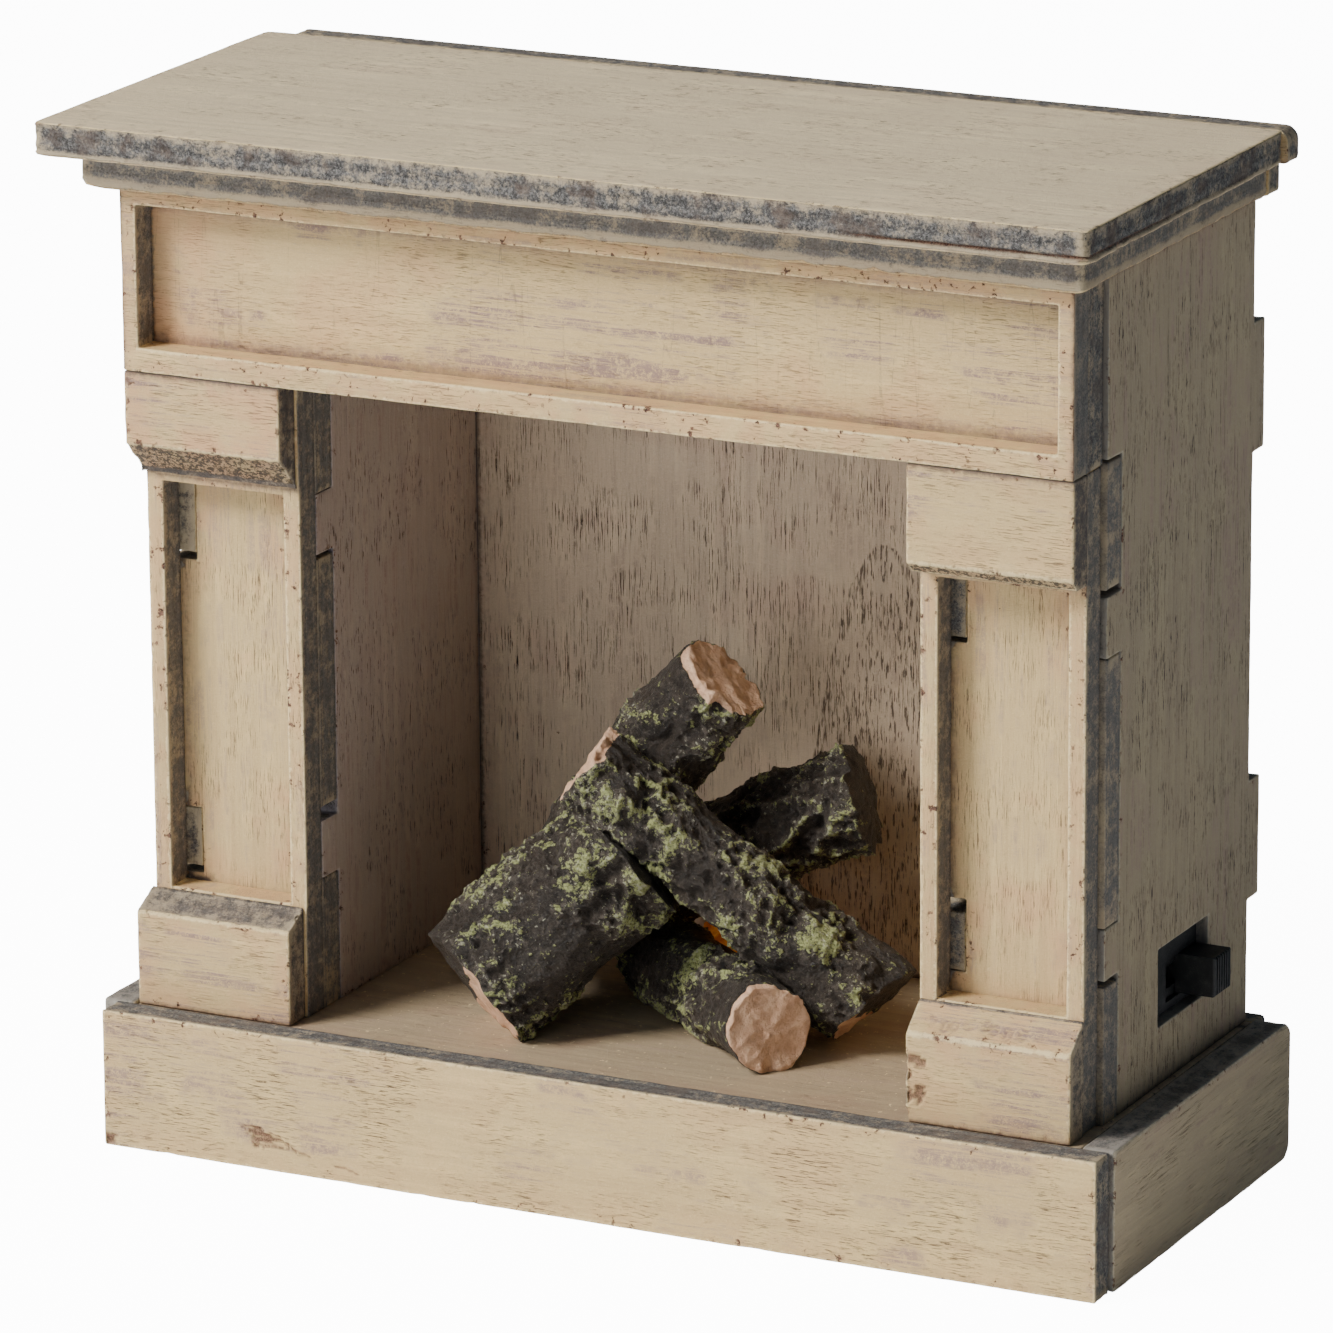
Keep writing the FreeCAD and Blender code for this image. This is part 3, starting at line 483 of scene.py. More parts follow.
def open_grain(t, given):
    """Lengths are in millimetres; Along shrinks the coordinate that runs with the fibres."""
    place = t.vector("ADD", given["Position"], given["Shift"])
    along = t.vector("MULTIPLY", place, given["Along"])
    short = t.vector("MULTIPLY", place, t.vector("MULTIPLY", given["Along"], (2.2, 1.0, 2.2)))
    pore_lines = t.rise(t.noise(short, 4.2, 3.0, 0.55), 0.585, 0.635)
    return {"Streaks": t.noise(along, 0.60, 5.0, 0.64),
            "Fibres": t.noise(along, 3.0, 4.0, 0.72),
            "Pores": t.mul(pore_lines, t.rise(t.noise(place, 0.10, 4.0, 0.60), 0.40, 0.62)),
            "Clouds": t.noise(place, 0.050, 4.0, 0.6),
            "Mottle": t.noise(place, 0.85, 7.0, 0.78),
            "Grit": t.noise(place, 3.6, 4.0, 0.8)}


def arris_wear(t, given):
    """How much paint is rubbed thin on an arris, small spots bared near it, and the warm tint and the
    darkening that lie in a nook; the darkening is partly dirt and partly painted shade."""
    place = t.vector("ADD", given["Position"], given["Shift"])
    fine, wide = t.noise(place, 1.1, 6.0, 0.7), t.noise(place, 0.17, 4.0, 0.6)
    arris, nook = given["Arris"], given["Nook"]
    worn_to = t.mul(given["Width"], t.mul_add(fine, 4.2, -1.3))
    past = t.maths("SUBTRACT", t.maths("SUBTRACT", worn_to, arris), t.mul(nook, 1.5))
    spots = t.mul_add(t.rise(arris, 2.6, 0.2), 0.142, t.noise(place, 0.75, 5.0, 0.68))
    warm = t.maths("MAXIMUM", t.mul(t.rise(arris, 7.0, 0.5), 0.6), nook)
    # Darkening in a nook: partly dirt, partly painted shade.
    dirt = t.mul_add(fine, 0.9, t.mul_add(nook, 0.75, -0.45))
    return {"Rubbed": t.rise(past, -0.15, 0.25),
            "Bare": t.mul(t.rise(spots, 0.700, 0.750), t.rise(wide, 0.44, 0.56)),
            "Warm": t.mul(warm, t.rise(wide, 0.36, 0.60)),
            "Grime": t.rise(dirt, 0.12, 0.62)}


def ply_layers(t, given):
    """A sheet's bare edge: charcoal stain, grey where the layers' fibres stand up, with the cream
    paint dragged over it in ragged patches. Cover is how much of it there is, Band the height of a
    strip along the lower face that is nearly all covered, Pale how thin the stain is."""
    place = t.vector("ADD", given["Position"], given["Shift"])
    grit, stroke = t.noise(place, 2.9, 6.0, 0.80), t.noise(place, 0.62, 7.0, 0.80)
    blot = t.noise(place, 0.20, 4.0, 0.6)
    bend = t.mul_add(t.noise(place, 0.35, 3.0, 0.6), 0.8, given["Depth"])
    layer = t.rise(t.maths("SINE", t.mul(bend, 3.14159)), -0.7, 0.7)
    stain = t.over(t.rise(stroke, 0.38, 0.60), (0.022, 0.021, 0.021), (0.100, 0.094, 0.090))
    umber = t.over(t.rise(stroke, 0.36, 0.62), (0.050, 0.030, 0.021), (0.175, 0.115, 0.078))
    colour = t.coats(stain,
                     (t.rise(t.mul_add(layer, 0.05, grit), 0.44, 0.70), (0.270, 0.262, 0.250)),
                     (t.maths("MAXIMUM", t.rise(blot, 0.52, 0.36, 0.6), given["Brown"]), umber),
                     (t.mul(given["Pale"], t.rise(grit, 0.20, 0.55)), (0.215, 0.200, 0.182)))
    strip = t.rise(t.mul_add(stroke, 2.6, given["Depth"]), t.maths("ADD", given["Band"], 1.7),
                   t.maths("ADD", given["Band"], 0.9))
    drag = t.weigh(t.mul(stroke, 0.70), (grit, 0.30), (t.rise(given["Arris"], 1.5, 0.1), 0.13), (strip, 0.16),
                   (t.maths("SUBTRACT", blot, 0.5), 0.40), (t.maths("SUBTRACT", given["Cover"], 0.5), 0.40))
    return {"Color": colour, "Height": t.mul_add(layer, 0.3, grit), "Paint": t.rise(drag, 0.47, 0.66)}


grain_group = group_shader("open_grain", {"Position": None, "Along": (0.05, 1, 1), "Shift": 0.0}, open_grain)
wear_group = group_shader("arris_wear", {"Position": None, "Arris": 5.0, "Nook": 0.0, "Width": 0.5, "Shift": 0.0},
                          arris_wear)
core_group = group_shader("ply_layers", {"Position": None, "Depth": 0.0, "Arris": 5.0, "Cover": 0.4, "Band": 0.0,
                                         "Pale": 0.2, "Brown": 0.0, "Shift": 0.0}, ply_layers)
GRAIN = {"x": (0.045, 1.0, 1.0), "y": (1.0, 0.045, 1.0), "z": (1.0, 1.0, 0.045)}
cream_light = (0.800, 0.585, 0.270)
cream_dark = (0.600, 0.425, 0.205)
warm_tint = (0.660, 0.360, 0.190)
lilac_tint = (0.330, 0.220, 0.180)
dirt_and_shade_tint = (0.075, 0.050, 0.040)
pore_tint = (0.070, 0.042, 0.031)
rubbed_cream = (0.880, 0.700, 0.380)
bared_dark = (0.042, 0.018, 0.012)
bared_light = (0.290, 0.145, 0.090)
worn_grey = (0.470, 0.400, 0.290)


def painted_finish(name, grain, shift, pores=0.35, smudge=0.35, tint=0.35, tone=1.0, wear=0.30, bare=1.0,
                   cover=0.45, band=0.0, pale=0.35, brown=0.0, grime=0.75, cast=(1.0, 1.0, 1.0), rim=None,
                   extra=None):
    """Chalk paint over plywood, rubbed at its arrises, with the sheet's bare edges stained dark."""
    # tone and cast scale and tint each cream of the board. On the boards turned from the lamp or inside the firebox
    # they darken and cool it: painted shade.
    def shade(colour):
        return tuple(min(1.0, tone * c * part) for c, part in zip(colour, cast))

    t = Shader(bpy.data.materials.new(name))
    place = t.millimetres()
    arris, edge, depth, scar, nook = map(t.mark, ("arris", "ply_edge", "depth", "scar", "nook"))
    wood = t.node("Group", {"Position": place, "Along": GRAIN[grain], "Shift": shift}, node_tree=grain_group)
    worn = t.node("Group", {"Position": place, "Arris": arris, "Nook": nook, "Width": wear, "Shift": shift * 1.7},
                  node_tree=wear_group)
    layers = t.node("Group", {"Position": place, "Depth": depth, "Arris": arris, "Cover": cover, "Band": band,
                              "Pale": pale, "Brown": brown, "Shift": shift * 0.6}, node_tree=core_group)
    streaks, fibres, pore_lines, clouds, mottle, grit = wood.values()
    warm = t.maths("MAXIMUM", t.rise(clouds, 0.50, 0.68, tint * 0.8), t.mul(worn["Warm"], tint * 1.3, clamp=True))
    smudges = t.mul(t.rise(clouds, 0.55, 0.42), t.rise(t.mul_add(fibres, 0.35, t.mul(streaks, 0.65)), 0.47, 0.58))
    # Dark lilac smudges are drawn into the nooks as well: smudged paint and painted shade.
    smudges = t.maths("MAXIMUM", smudges, t.mul(nook, t.rise(streaks, 0.36, 0.54)))
    smudges = t.mul(smudges, t.rise(t.mul_add(grit, 0.5, t.mul(mottle, 0.5)), 0.36, 0.56))
    broken = t.mul(pore_lines, t.rise(mottle, 0.36, 0.52))
    paint = t.coats(shade(cream_light),
                    (t.rise(streaks, 0.72, 0.30), shade(cream_dark)),
                    (t.rise(fibres, 0.60, 0.36, 0.40), shade(cream_dark)),
                    (t.rise(mottle, 0.56, 0.74, 0.40), shade(rubbed_cream)),
                    (t.rise(grit, 0.52, 0.74, 0.50), shade(rubbed_cream)),
                    (t.rise(grit, 0.46, 0.26, 0.55), shade([0.72 * c for c in cream_dark])),
                    (warm, shade(warm_tint)),
                    (t.mul(smudges, 1.15 * smudge, clamp=True), lilac_tint),
                    (t.mul(broken, 1.5 * pores, clamp=True), pore_tint))
    if extra:
        paint = extra(t, paint, place, wood)
    rubbed, thin = rim or (shade(rubbed_cream), shade(worn_grey))
    bared = t.over(t.rise(grit, 0.40, 0.62), bared_dark, bared_light)
    bare_edge = t.rise(t.mul_add(t.maths("SUBTRACT", mottle, 0.5), 1.1, edge), 0.40, 0.60)
    uncovered = t.maths("SUBTRACT", 1.0, t.mul(layers["Paint"], 0.86))
    # The first coat darkens the nooks: partly dirt and partly painted shade.
    paint = t.coats(paint,
                    (t.mul(worn["Grime"], t.mul(nook, grime * 1.4), clamp=True), dirt_and_shade_tint),
                    (t.mul(worn["Rubbed"], 0.8), rubbed),
                    (t.mul(worn["Bare"], bare, clamp=True), bared),
                    (t.mul(bare_edge, 0.65), thin),
                    (t.mul(bare_edge, uncovered), layers["Color"]),
                    (scar, bared))
    lift = t.weigh(t.mul(streaks, 0.9), (fibres, 0.60), (mottle, 0.75), (grit, 0.45),
                   (broken, -0.9 * min(1.0, pores + 0.2)), (worn["Bare"], -0.6),
                   (t.mul(layers["Height"], bare_edge), 1.5))
    matt = t.mul_add(bare_edge, 0.16, t.mul_add(streaks, 0.22, 0.56), clamp=True)
    return t.finished({"Base Color": paint, "Roughness": matt, "Normal": t.bump(0.85, 0.00022, lift),
                       "Specular IOR Level": 0.35})


shelf_lo, shelf_hi = mm_box("top_board")
split_from = 38.0          # x where the lowest layer starts to come away
split_height = 1.15        # above the shelf's underside


def split_layer(points, normals, marks):
    """The lowest layer parted from the core: on the front and right-hand rim the points within
    0.3 mm of the split line go in by up to 0.8 mm, more towards the corner. The front-left top corner is marked as
    knocked, as a scar in the paint."""
    level = points[:, 2] - shelf_lo[2]
    wander = 0.12 * soft_noise(points * (1, 1, 0), 6.0, 41)
    close = np.exp(-((level - split_height - wander) / 0.22) ** 2)
    front = (points[:, 1] < shelf_lo[1] + 0.9) * smooth_step(points[:, 0], split_from, split_from + 14)
    right = (points[:, 0] > shelf_hi[0] - 0.9) * smooth_step(points[:, 1], shelf_hi[1] - 8, shelf_lo[1] + 12)
    gap = close * np.maximum(front, 0.8 * right) * (0.75 + 0.25 * soft_noise(points, 2.0, 42))
    corner = points - (shelf_lo[0], shelf_lo[1], shelf_hi[2])
    knocked = smooth_step(1.3 + 0.7 * soft_noise(points, 0.6, 43) - np.linalg.norm(corner, axis=1), 0.0, 0.4)
    marks["scar"] = np.maximum(0.95 * smooth_step(gap, 0.25, 0.6), 0.9 * knocked)
    points[:, 1] += 0.8 * gap * (front > 0)
    points[:, 0] -= 0.5 * gap * (front <= 0)
    return points


worn_board("shelf", "top_board", 2, painted_finish(
    "shelf_paint", "x", 3.1, pores=0.6, tint=0.12, tone=1.34, wear=0.42, cover=0.44, band=0.8, pale=0.1, bare=0.7,
    cast=(0.86, 0.97, 1.30), rim=((0.86, 0.68, 0.35), (0.44, 0.35, 0.235))), seed=5, arris=(0.75, 0.32),
    rough=0.14, chips=0.9, damage=split_layer, rim_step=0.3, grid=3.6, rounding=1.1)

# ---------------------------------------------------------------- bed moulding
# A second rectangle of the same plywood under the shelf, set back from it, its lower
# arris planed to a bevel. It is glued to the tops of the walls and the front layers.
bed_lo, bed_hi = mm_box("bed_moulding")
worn_board("bed_moulding_board", "bed_moulding", 2, painted_finish(
    "bed_paint", "x", 9.4, pores=0.4, smudge=0.6, tint=0.4, wear=0.45, cover=0.5, band=1.6, pale=0.6, tone=0.95),
    seed=8, arris=(1.1, 0.3), rough=0.08, grid=5.0, chips=0.3, seams=[(2, bed_hi[2], 0.5)], rounding=0.8)

# ---------------------------------------------------------------- frieze
# A thin frame of plywood glued on a plain panel, so that the panel lies sunk. The
# frame's inner edges are bare ply, stained dark where the brush missed them.
frame_lo, frame_hi = mm_box("frieze_frame")
end_stile, top_rail, bottom_rail = 2.6, 2.6, 3.6
window_lo = (frame_lo[0] + end_stile, frame_lo[1], frame_lo[2] + bottom_rail)
window_hi = (frame_hi[0] - end_stile, frame_hi[1], frame_hi[2] - top_rail)
window = rectangle(window_lo, window_hi, 1)


def painted_ledge(share, covered=()):
    """Edges that look up take a share of the face paint: the ply_edge mark is scaled there. The
    arrises in the covered ranges of height lie behind another block and stay stained."""
    def damage(points, normals, marks):
        up = smooth_step(normals[:, 2], 0.4, 0.8)
        marks["ply_edge"] = marks["ply_edge"] * (1 - share * up)
        marks["nook"] = marks["nook"] * (1 - up)
        for low, high in covered:
            behind = (points[:, 2] > low) * (points[:, 2] < high) * (np.abs(normals[:, 0]) > 0.3)
            marks["ply_edge"] = np.maximum(marks["ply_edge"], behind)
            marks["arris"] = marks["arris"] + 2 * behind
        return points
    return damage


worn_board("frieze_frame_board", "frieze_frame", 1, painted_finish(
    "frieze_frame_paint", "x", 14.2, pores=0.4, smudge=0.6, tint=0.6, wear=0.4, cover=0.5, pale=0.6, bare=1.3),
    holes=[window], seed=11, arris=(0.2, 0.3), chips=0.45, damage=painted_ledge(0.85),
    seams=[(2, frame_hi[2], 0.7), (0, frame_lo[0], 0.5), (0, frame_hi[0], 0.5)])


def sunk_panel_tint(t, paint, place, wood):
    """A peach bloom towards the panel's left end, and hairline checks where a stretched vertical
    noise crosses its middle value."""
    left = t.rise(t.axis("X", place), float(window_lo[0] + 22), float(window_lo[0] + 1))
    upright = t.vector("MULTIPLY", place, (1.0, 1.0, 0.06))
    off = t.maths("ABSOLUTE", t.maths("SUBTRACT", t.noise(upright, 0.22, 2.0, 0.5), 0.5))
    hair = t.mul(t.rise(off, 0.006, 0.001), t.rise(wood["Mottle"], 0.42, 0.56))
    return t.coats(paint, (t.mul(left, t.rise(wood["Clouds"], 0.36, 0.60, 0.75)), warm_tint),
                   (t.mul(hair, 0.3), pore_tint))


worn_board("frieze_panel_board", "frieze_panel", 1, painted_finish(
    "frieze_panel_paint", "x", 21.7, pores=0.3, smudge=1.0, tint=0.45, wear=0.2, tone=1.02, extra=sunk_panel_tint,
    grime=0.5), seed=12, arris=(0.2, 0.2), grid=2.6, nook_loops=[window], nook_width=0.9, buried=(True, True))

# ---------------------------------------------------------------- caps and bases
# Short blocks of plywood glued over the ends of each pilaster. The caps are bevelled
# below and the bases above, by hand, so that no two bevels are alike.
def cap_profile(lo, hi, bevel):
    """Outline in depth and height: square at the top, bevelled back at the bottom."""
    foot = [(lo[1] + bevel, lo[2])] if bevel < hi[1] - lo[1] else []
    return [(lo[1], hi[2]), (lo[1], lo[2] + bevel), *foot, (hi[1], lo[2]), (hi[1], hi[2])]


def base_profile(lo, hi, bevel):
    """Outline in depth and height: the top slopes up from the face to the pilaster."""
    return [(lo[1], lo[2]), (lo[1], hi[2] - bevel), (hi[1], hi[2]), (hi[1], lo[2])]


def rough_bevel(depth, low_z, high_z, seed):
    """Torn fibres on a bevel: points whose normal leans and whose height is in the range move in
    along the normal by depth times a fine noise."""
    def damage(points, normals, marks):
        leaning = smooth_step(np.abs(normals[:, 2]), 0.25, 0.5) * (np.abs(normals[:, 2]) < 0.93)
        here = leaning * (points[:, 2] > low_z) * (points[:, 2] < high_z)
        torn = 0.5 + 0.3 * soft_noise(points, 1.1, seed) + 0.3 * soft_noise(points, 0.5, seed + 1)
        points -= normals * (depth * here * torn)[:, None]
        marks["ply_edge"] = np.maximum(marks["ply_edge"], 0.3 * here * smooth_step(torn, 0.35, 0.75))
        marks["pitted"] = here
        return points
    return damage


def pitted_bevel(from_level):
    """Small dark pits where a fine noise passes a level, inside the board's pitted mark."""
    def pits(t, paint, place, wood):
        here = t.mark("pitted")
        fine = t.mul_add(wood["Mottle"], 0.5, t.mul(t.noise(place, 1.9, 4.0, 0.7), 0.5))
        pit = t.mul(here, t.rise(fine, from_level, from_level + 0.05))
        return t.coats(paint, (t.mul(here, 0.40), (0.215, 0.170, 0.130)), (t.mul(pit, 0.9), (0.044, 0.034, 0.028)))
    return pits


def ring_dents(points, normals, marks):
    """A row of small round dents pressed in the right base's slope, each a ring 1 mm across, its
    depth a bump in the distance from its centre; and four flakes off the face, near its torn left
    arris."""
    dent = np.zeros(len(points))
    lo, hi = mm_box("base_block_right")
    first, pitch, down = 3.2, 2.0, 2.3
    ring_radius, ring_width = 0.5, 0.24
    for number in range(8):
        x = lo[0] + first + pitch * number + 0.4 * math.sin(number * 2.1)
        away = np.hypot(points[:, 0] - x, points[:, 2] - (hi[2] - down - 0.35 * math.sin(number * 1.3)))
        dent += np.exp(-((away - ring_radius) / ring_width) ** 2) * (points[:, 1] < hi[1] - 0.2)
    ragged = 0.35 * soft_noise(points, 1.0, 77) + 0.2 * soft_noise(points, 0.45, 78)
    chip = np.zeros(len(points))
    flakes = ((1.6, 9.4, 2.3, 0.9), (0.5, 7.2, 1.0, 0.9), (2.2, 4.6, 0.9, 1.6), (0.5, 4.0, 0.8, 1.5))
    for right, up, wide, tall in flakes:
        away = np.hypot((points[:, 0] - lo[0] - right) / wide, (points[:, 2] - lo[2] - up) / tall)
        chip = np.maximum(chip, smooth_step(1.0 - away + ragged, 0.0, 0.4))
    chip *= normals[:, 1] < -0.3
    points -= normals * (0.20 * np.minimum(dent, 1) + 0.40 * chip)[:, None]
    torn = np.exp(-np.abs(points[:, 0] - lo[0]) / 0.5) * smooth_step(soft_noise(points, 1.3, 79), -0.4, 0.4)
    points[:, 0] += 0.7 * torn * (points[:, 2] < lo[2] + 10)
    marks["scar"] = np.maximum(0.8 * smooth_step(chip, 0.3, 0.6), 0.35 * smooth_step(dent, 0.5, 1.0))
    return points


# A block's outline is its profile, seen from the side, though its sheet faces the front.
cut_end = dict(sheet=1, arris=(0.3, 0.3), rough=0.02, wobble=0.05, second_ring=False, face_edge=(0.30, 0.75))
for side, shift, cap_bevel, base_bevel, cap_tint, cap_tear in (("left", 30.3, 5.0, 2.6, 1.0, 0.55),
                                                               ("right", 37.9, 1.7, 3.9, 0.35, 0.05)):
    cap_lo, cap_hi = mm_box("cap_block_" + side)
    base_lo, base_hi = mm_box("base_block_" + side)
    worn_board("cap_" + side, "cap_block_" + side, 0, painted_finish(
        "cap_paint_" + side, "x", shift, pores=0.4, smudge=0.9, wear=0.4, pale=0.4, brown=0.85, tint=cap_tint,
        extra=pitted_bevel(0.465)), cap_profile(cap_lo, cap_hi, cap_bevel), seed=20 + int(shift), step=0.55,
        rim_step=0.6, grid=1.6, seams=[(2, cap_hi[2], 0.8)],
        damage=rough_bevel(cap_tear, cap_lo[2] - 1, cap_hi[2] - 1, 61), **cut_end)
    worn_board("base_" + side, "base_block_" + side, 0, painted_finish(
        "base_paint_" + side, "x", shift + 3.3, pores=0.4, smudge=0.9, tint=0.6, wear=0.4, cover=0.6, pale=0.5,
        brown=0.85, extra=pitted_bevel(0.545)), base_profile(base_lo, base_hi, base_bevel), seed=40 + int(shift),
        step=0.45, rim_step=0.45, grid=1.2, seams=[(2, base_lo[2], 0.7)],
        damage=ring_dents if side == "right" else rough_bevel(0.5, base_lo[2] + 6, base_hi[2] + 1, 63), **cut_end)

# ---------------------------------------------------------------- pilasters
# Each pilaster is a narrow plywood frame behind the cap and the base. Its window shows
# the front panel and the ends of the walls' tabs behind it.
pilaster_stile = 2.75
pilaster_top_rail = 1.3
pilaster_windows = []
for side, shift in (("left", 45.2), ("right", 52.6)):
    pil_lo, pil_hi = mm_box("pilaster_frame_" + side)
    sill = mm_box("base_block_" + side)[1][2]
    head = mm_box("cap_block_" + side)[0][2] - pilaster_top_rail
    opening = rectangle((pil_lo[0] + pilaster_stile, 0, sill), (pil_hi[0] - pilaster_stile, 0, head), 1)
    worn_board("pilaster_" + side, "pilaster_frame_" + side, 1, painted_finish(
        "pilaster_paint_" + side, "z", shift, pores=0.45, smudge=0.6, tint=0.55, wear=0.45, cover=0.5, pale=0.7,
        brown=0.5), holes=[opening], seed=60 + int(shift), arris=(0.2, 0.34), chips=0.7,
        damage=painted_ledge(0.95, [(pil_lo[2] - 1, sill), (head + pilaster_top_rail, pil_hi[2] + 1)]),
        seams=[(2, head + pilaster_top_rail, 1.0)])
    pilaster_windows.append(opening)

# ---------------------------------------------------------------- front panel
# The third layer is one arch-shaped board. Slots in its outer and inner edges take the
# tabs of the four upright walls; some are cut longer than their tabs, and stay open.
front_lo, front_hi = mm_box("front_panel")
left_lo, left_hi = mm_box("side_wall_left")
right_lo, right_hi = mm_box("side_wall_right")
inner_left_lo, inner_left_hi = mm_box("firebox_wall_left")
inner_right_lo, inner_right_hi = mm_box("firebox_wall_right")
hearth_top = mm_box("hearth_floor")[1][2]
soffit = frame_lo[2]
# Each slot: its lowest and highest points, and how far the tab stops short of them.
outer_slots_right = [(41.1, 49.8, 0.9, 0.0), (89.3, 99.25, 0.0, 0.9)]
outer_slots_left = [(38.9, 48.9, 0.9, 0.0), (87.0, 98.9, 1.0, 0.0)]
inner_slots = [(40.6, 51.4, 0.0, 2.0), (89.3, 99.1, 0.6, 0.0)]
slot_clearance = 0.1
top_slot = soffit + 0.45
top_tab_gap = 0.3


def stepped(x, spans, way):
    """Corners up an upright edge at x, with a step of "way" to the side over each span of heights."""
    corners = []
    for low, high in spans:
        corners += [(x, low), (x + way, low), (x + way, high), (x, high)]
    return corners


def slotted(x, slots, way):
    """Corners up an edge of the front panel, with its slots."""
    return stepped(x, [slot[:2] for slot in slots], way)


notch = right_hi[0] - right_lo[0] + slot_clearance
fire_left, fire_right = inner_left_hi[0], inner_right_lo[0]
front_outline = [
    (front_lo[0], front_lo[2]), (fire_left, front_lo[2]), *slotted(fire_left, inner_slots, -notch),
    (fire_left, soffit), (fire_right, soffit), *slotted(fire_right, inner_slots, notch)[::-1],
    (fire_right, front_lo[2]), (front_hi[0], front_lo[2]), *slotted(front_hi[0], outer_slots_right, -notch),
    (front_hi[0], top_slot), (front_hi[0] - notch, top_slot), (front_hi[0] - notch, front_hi[2]),
    (front_lo[0] + notch, front_hi[2]), (front_lo[0] + notch, top_slot), (front_lo[0], top_slot),
    *slotted(front_lo[0], outer_slots_left, notch)[::-1]]
worn_board("front_board", "front_panel", 1, painted_finish(
    "front_panel_paint", "z", 60.1, pores=0.5, smudge=0.55, tint=0.7, wear=0.34, cover=0.5, pale=0.8, grime=0.8,
    brown=0.2), front_outline, seed=71, arris=(0.2, 0.28), grid=2.2, nook_loops=pilaster_windows, nook_width=0.9,
    seams=[(2, soffit, 0.7)], buried=(True, True))

# ---------------------------------------------------------------- side walls
# Two outer walls of plywood, their tabs glued through the front and back panels. The
# right-hand one has an oblong hole for the switch.
back_tabs = [(39.1, 57.4), (106.8, 126.2)]
wall_front = front_hi[1]
back_lo, back_hi = mm_box("back_panel")
panel_front = back_lo[1]
hole_length, hole_height, hole_low = 18.1, 11.65, 29.4
housing_flange, switch_to_battery = 3.0, 3.35
hole_high = hole_low + hole_height
hole_back = mm_box("battery_holder")[0][1] - switch_to_battery - housing_flange
hole_front = hole_back - hole_length


def wall_outline(slots, has_top_tab):
    """Depth and height of a wall: a rectangle with tabs to the back panel and to the front one."""
    top = front_hi[2]
    top_front = [(wall_front, top)]
    if has_top_tab:
        under = top_slot + top_tab_gap
        top_front = [(front_lo[1], top), (front_lo[1], under), (wall_front, under)]
    tabs = [(low + below, high - above) for low, high, below, above in slots]
    return [(wall_front, hearth_top), (panel_front, hearth_top),
            *stepped(panel_front, back_tabs, back_hi[1] - panel_front), (panel_front, top), *top_front,
            *stepped(wall_front, tabs, front_lo[1] - wall_front)[::-1]]


def long_checks(t, paint, place, wood):
    """Hair-thin dark checks that run far up the wall: a noise stretched along the height."""
    drawn = t.vector("MULTIPLY", place, (1.0, 1.0, 0.022))
    check = t.mul(t.rise(t.noise(drawn, 2.6, 4.0, 0.6), 0.585, 0.65), t.rise(wood["Mottle"], 0.40, 0.55))
    return t.over(t.mul(check, 0.75), paint, pore_tint)


wall_seams = [(2, hearth_top, 0.8), (2, front_hi[2], 0.7)]
# The right-hand wall is turned from the lamp: its tone and cast darken and cool the cream, painted shade.
worn_board("wall_right", "side_wall_right", 0, painted_finish(
    "wall_right_paint", "z", 66.6, pores=1.0, smudge=0.7, tint=0.1, tone=0.65, cover=0.72, pale=0.8,
    cast=(0.90, 1.0, 1.32), extra=long_checks), wall_outline(outer_slots_right, True), seed=81, arris=(0.2, 0.26),
    grid=3.4, seams=wall_seams, holes=[rectangle((0, hole_front, hole_low), (0, hole_back, hole_high), 0)])
worn_board("wall_left", "side_wall_left", 0, painted_finish(
    "wall_left_paint", "z", 73.8, pores=0.8, smudge=0.5, tint=0.2, tone=0.96, cover=0.72),
    wall_outline(outer_slots_left, True), seed=82, arris=(0.26, 0.2), grid=3.4, seams=wall_seams)

# ---------------------------------------------------------------- firebox
# Two inner walls and a thin lining make the firebox. The lining has an open-pored
# face veneer whose growth rings come to a point on the right.
arch_x = fire_right - 30.8
arch_top = 87.0
GRAIN["long"] = (1.0, 1.0, 0.030)


def pointed_grain(t, paint, place, wood):
    """The edge of the pointed figure is the curve height = top - (x - arch)^2 / 4, bent by noise.
    Its distance is the height above the curve over the curve's slope length. Pores crowd
    just inside the edge and thin out further in."""
    off = t.maths("SUBTRACT", t.axis("X", place), float(arch_x))
    square = t.mul(off, t.mul(off, 0.25))
    bend = t.mul_add(t.noise(place, 0.25, 4.0, 0.6), 5.0, -2.5 - arch_top)
    above = t.maths("ADD", t.maths("ADD", t.axis("Z", place), square), bend)
    away = t.maths("DIVIDE", above, t.maths("SQRT", t.maths("ADD", square, 1.0)))
    inside = t.rise(away, 0.3, -0.1)
    fine = t.noise(t.vector("MULTIPLY", place, (1.0, 1.0, 0.13)), 3.6, 3.0, 0.5)
    crowded = t.mul(t.mul(t.rise(away, -2.2, -0.3), inside), t.rise(fine, 0.47, 0.57))
    spread = t.mul(inside, t.rise(fine, 0.575, 0.635))
    return t.over(t.mul(t.maths("MAXIMUM", crowded, spread), 0.85), paint, pore_tint)


# Inside the firebox: tone darkens both walls and the left wall's cast cools it, painted shade.
for side, shift, seed, wall_arris, wall_cast in (("left", 80.5, 83, (0.2, 0.24), (0.90, 1.0, 1.70)),
                                                 ("right", 84.9, 84, (0.24, 0.2), (1.0, 1.0, 1.0))):
    worn_board("firebox_" + side, "firebox_wall_" + side, 0, painted_finish(
        "firebox_" + side + "_paint", "z", shift, pores=0.9, smudge=0.7, tint=0.2, tone=0.8, wear=0.2,
        cast=wall_cast), wall_outline(inner_slots, False), seed=seed, arris=wall_arris, chips=0.4, grid=3.6,
        slot_name="firebox_ply")
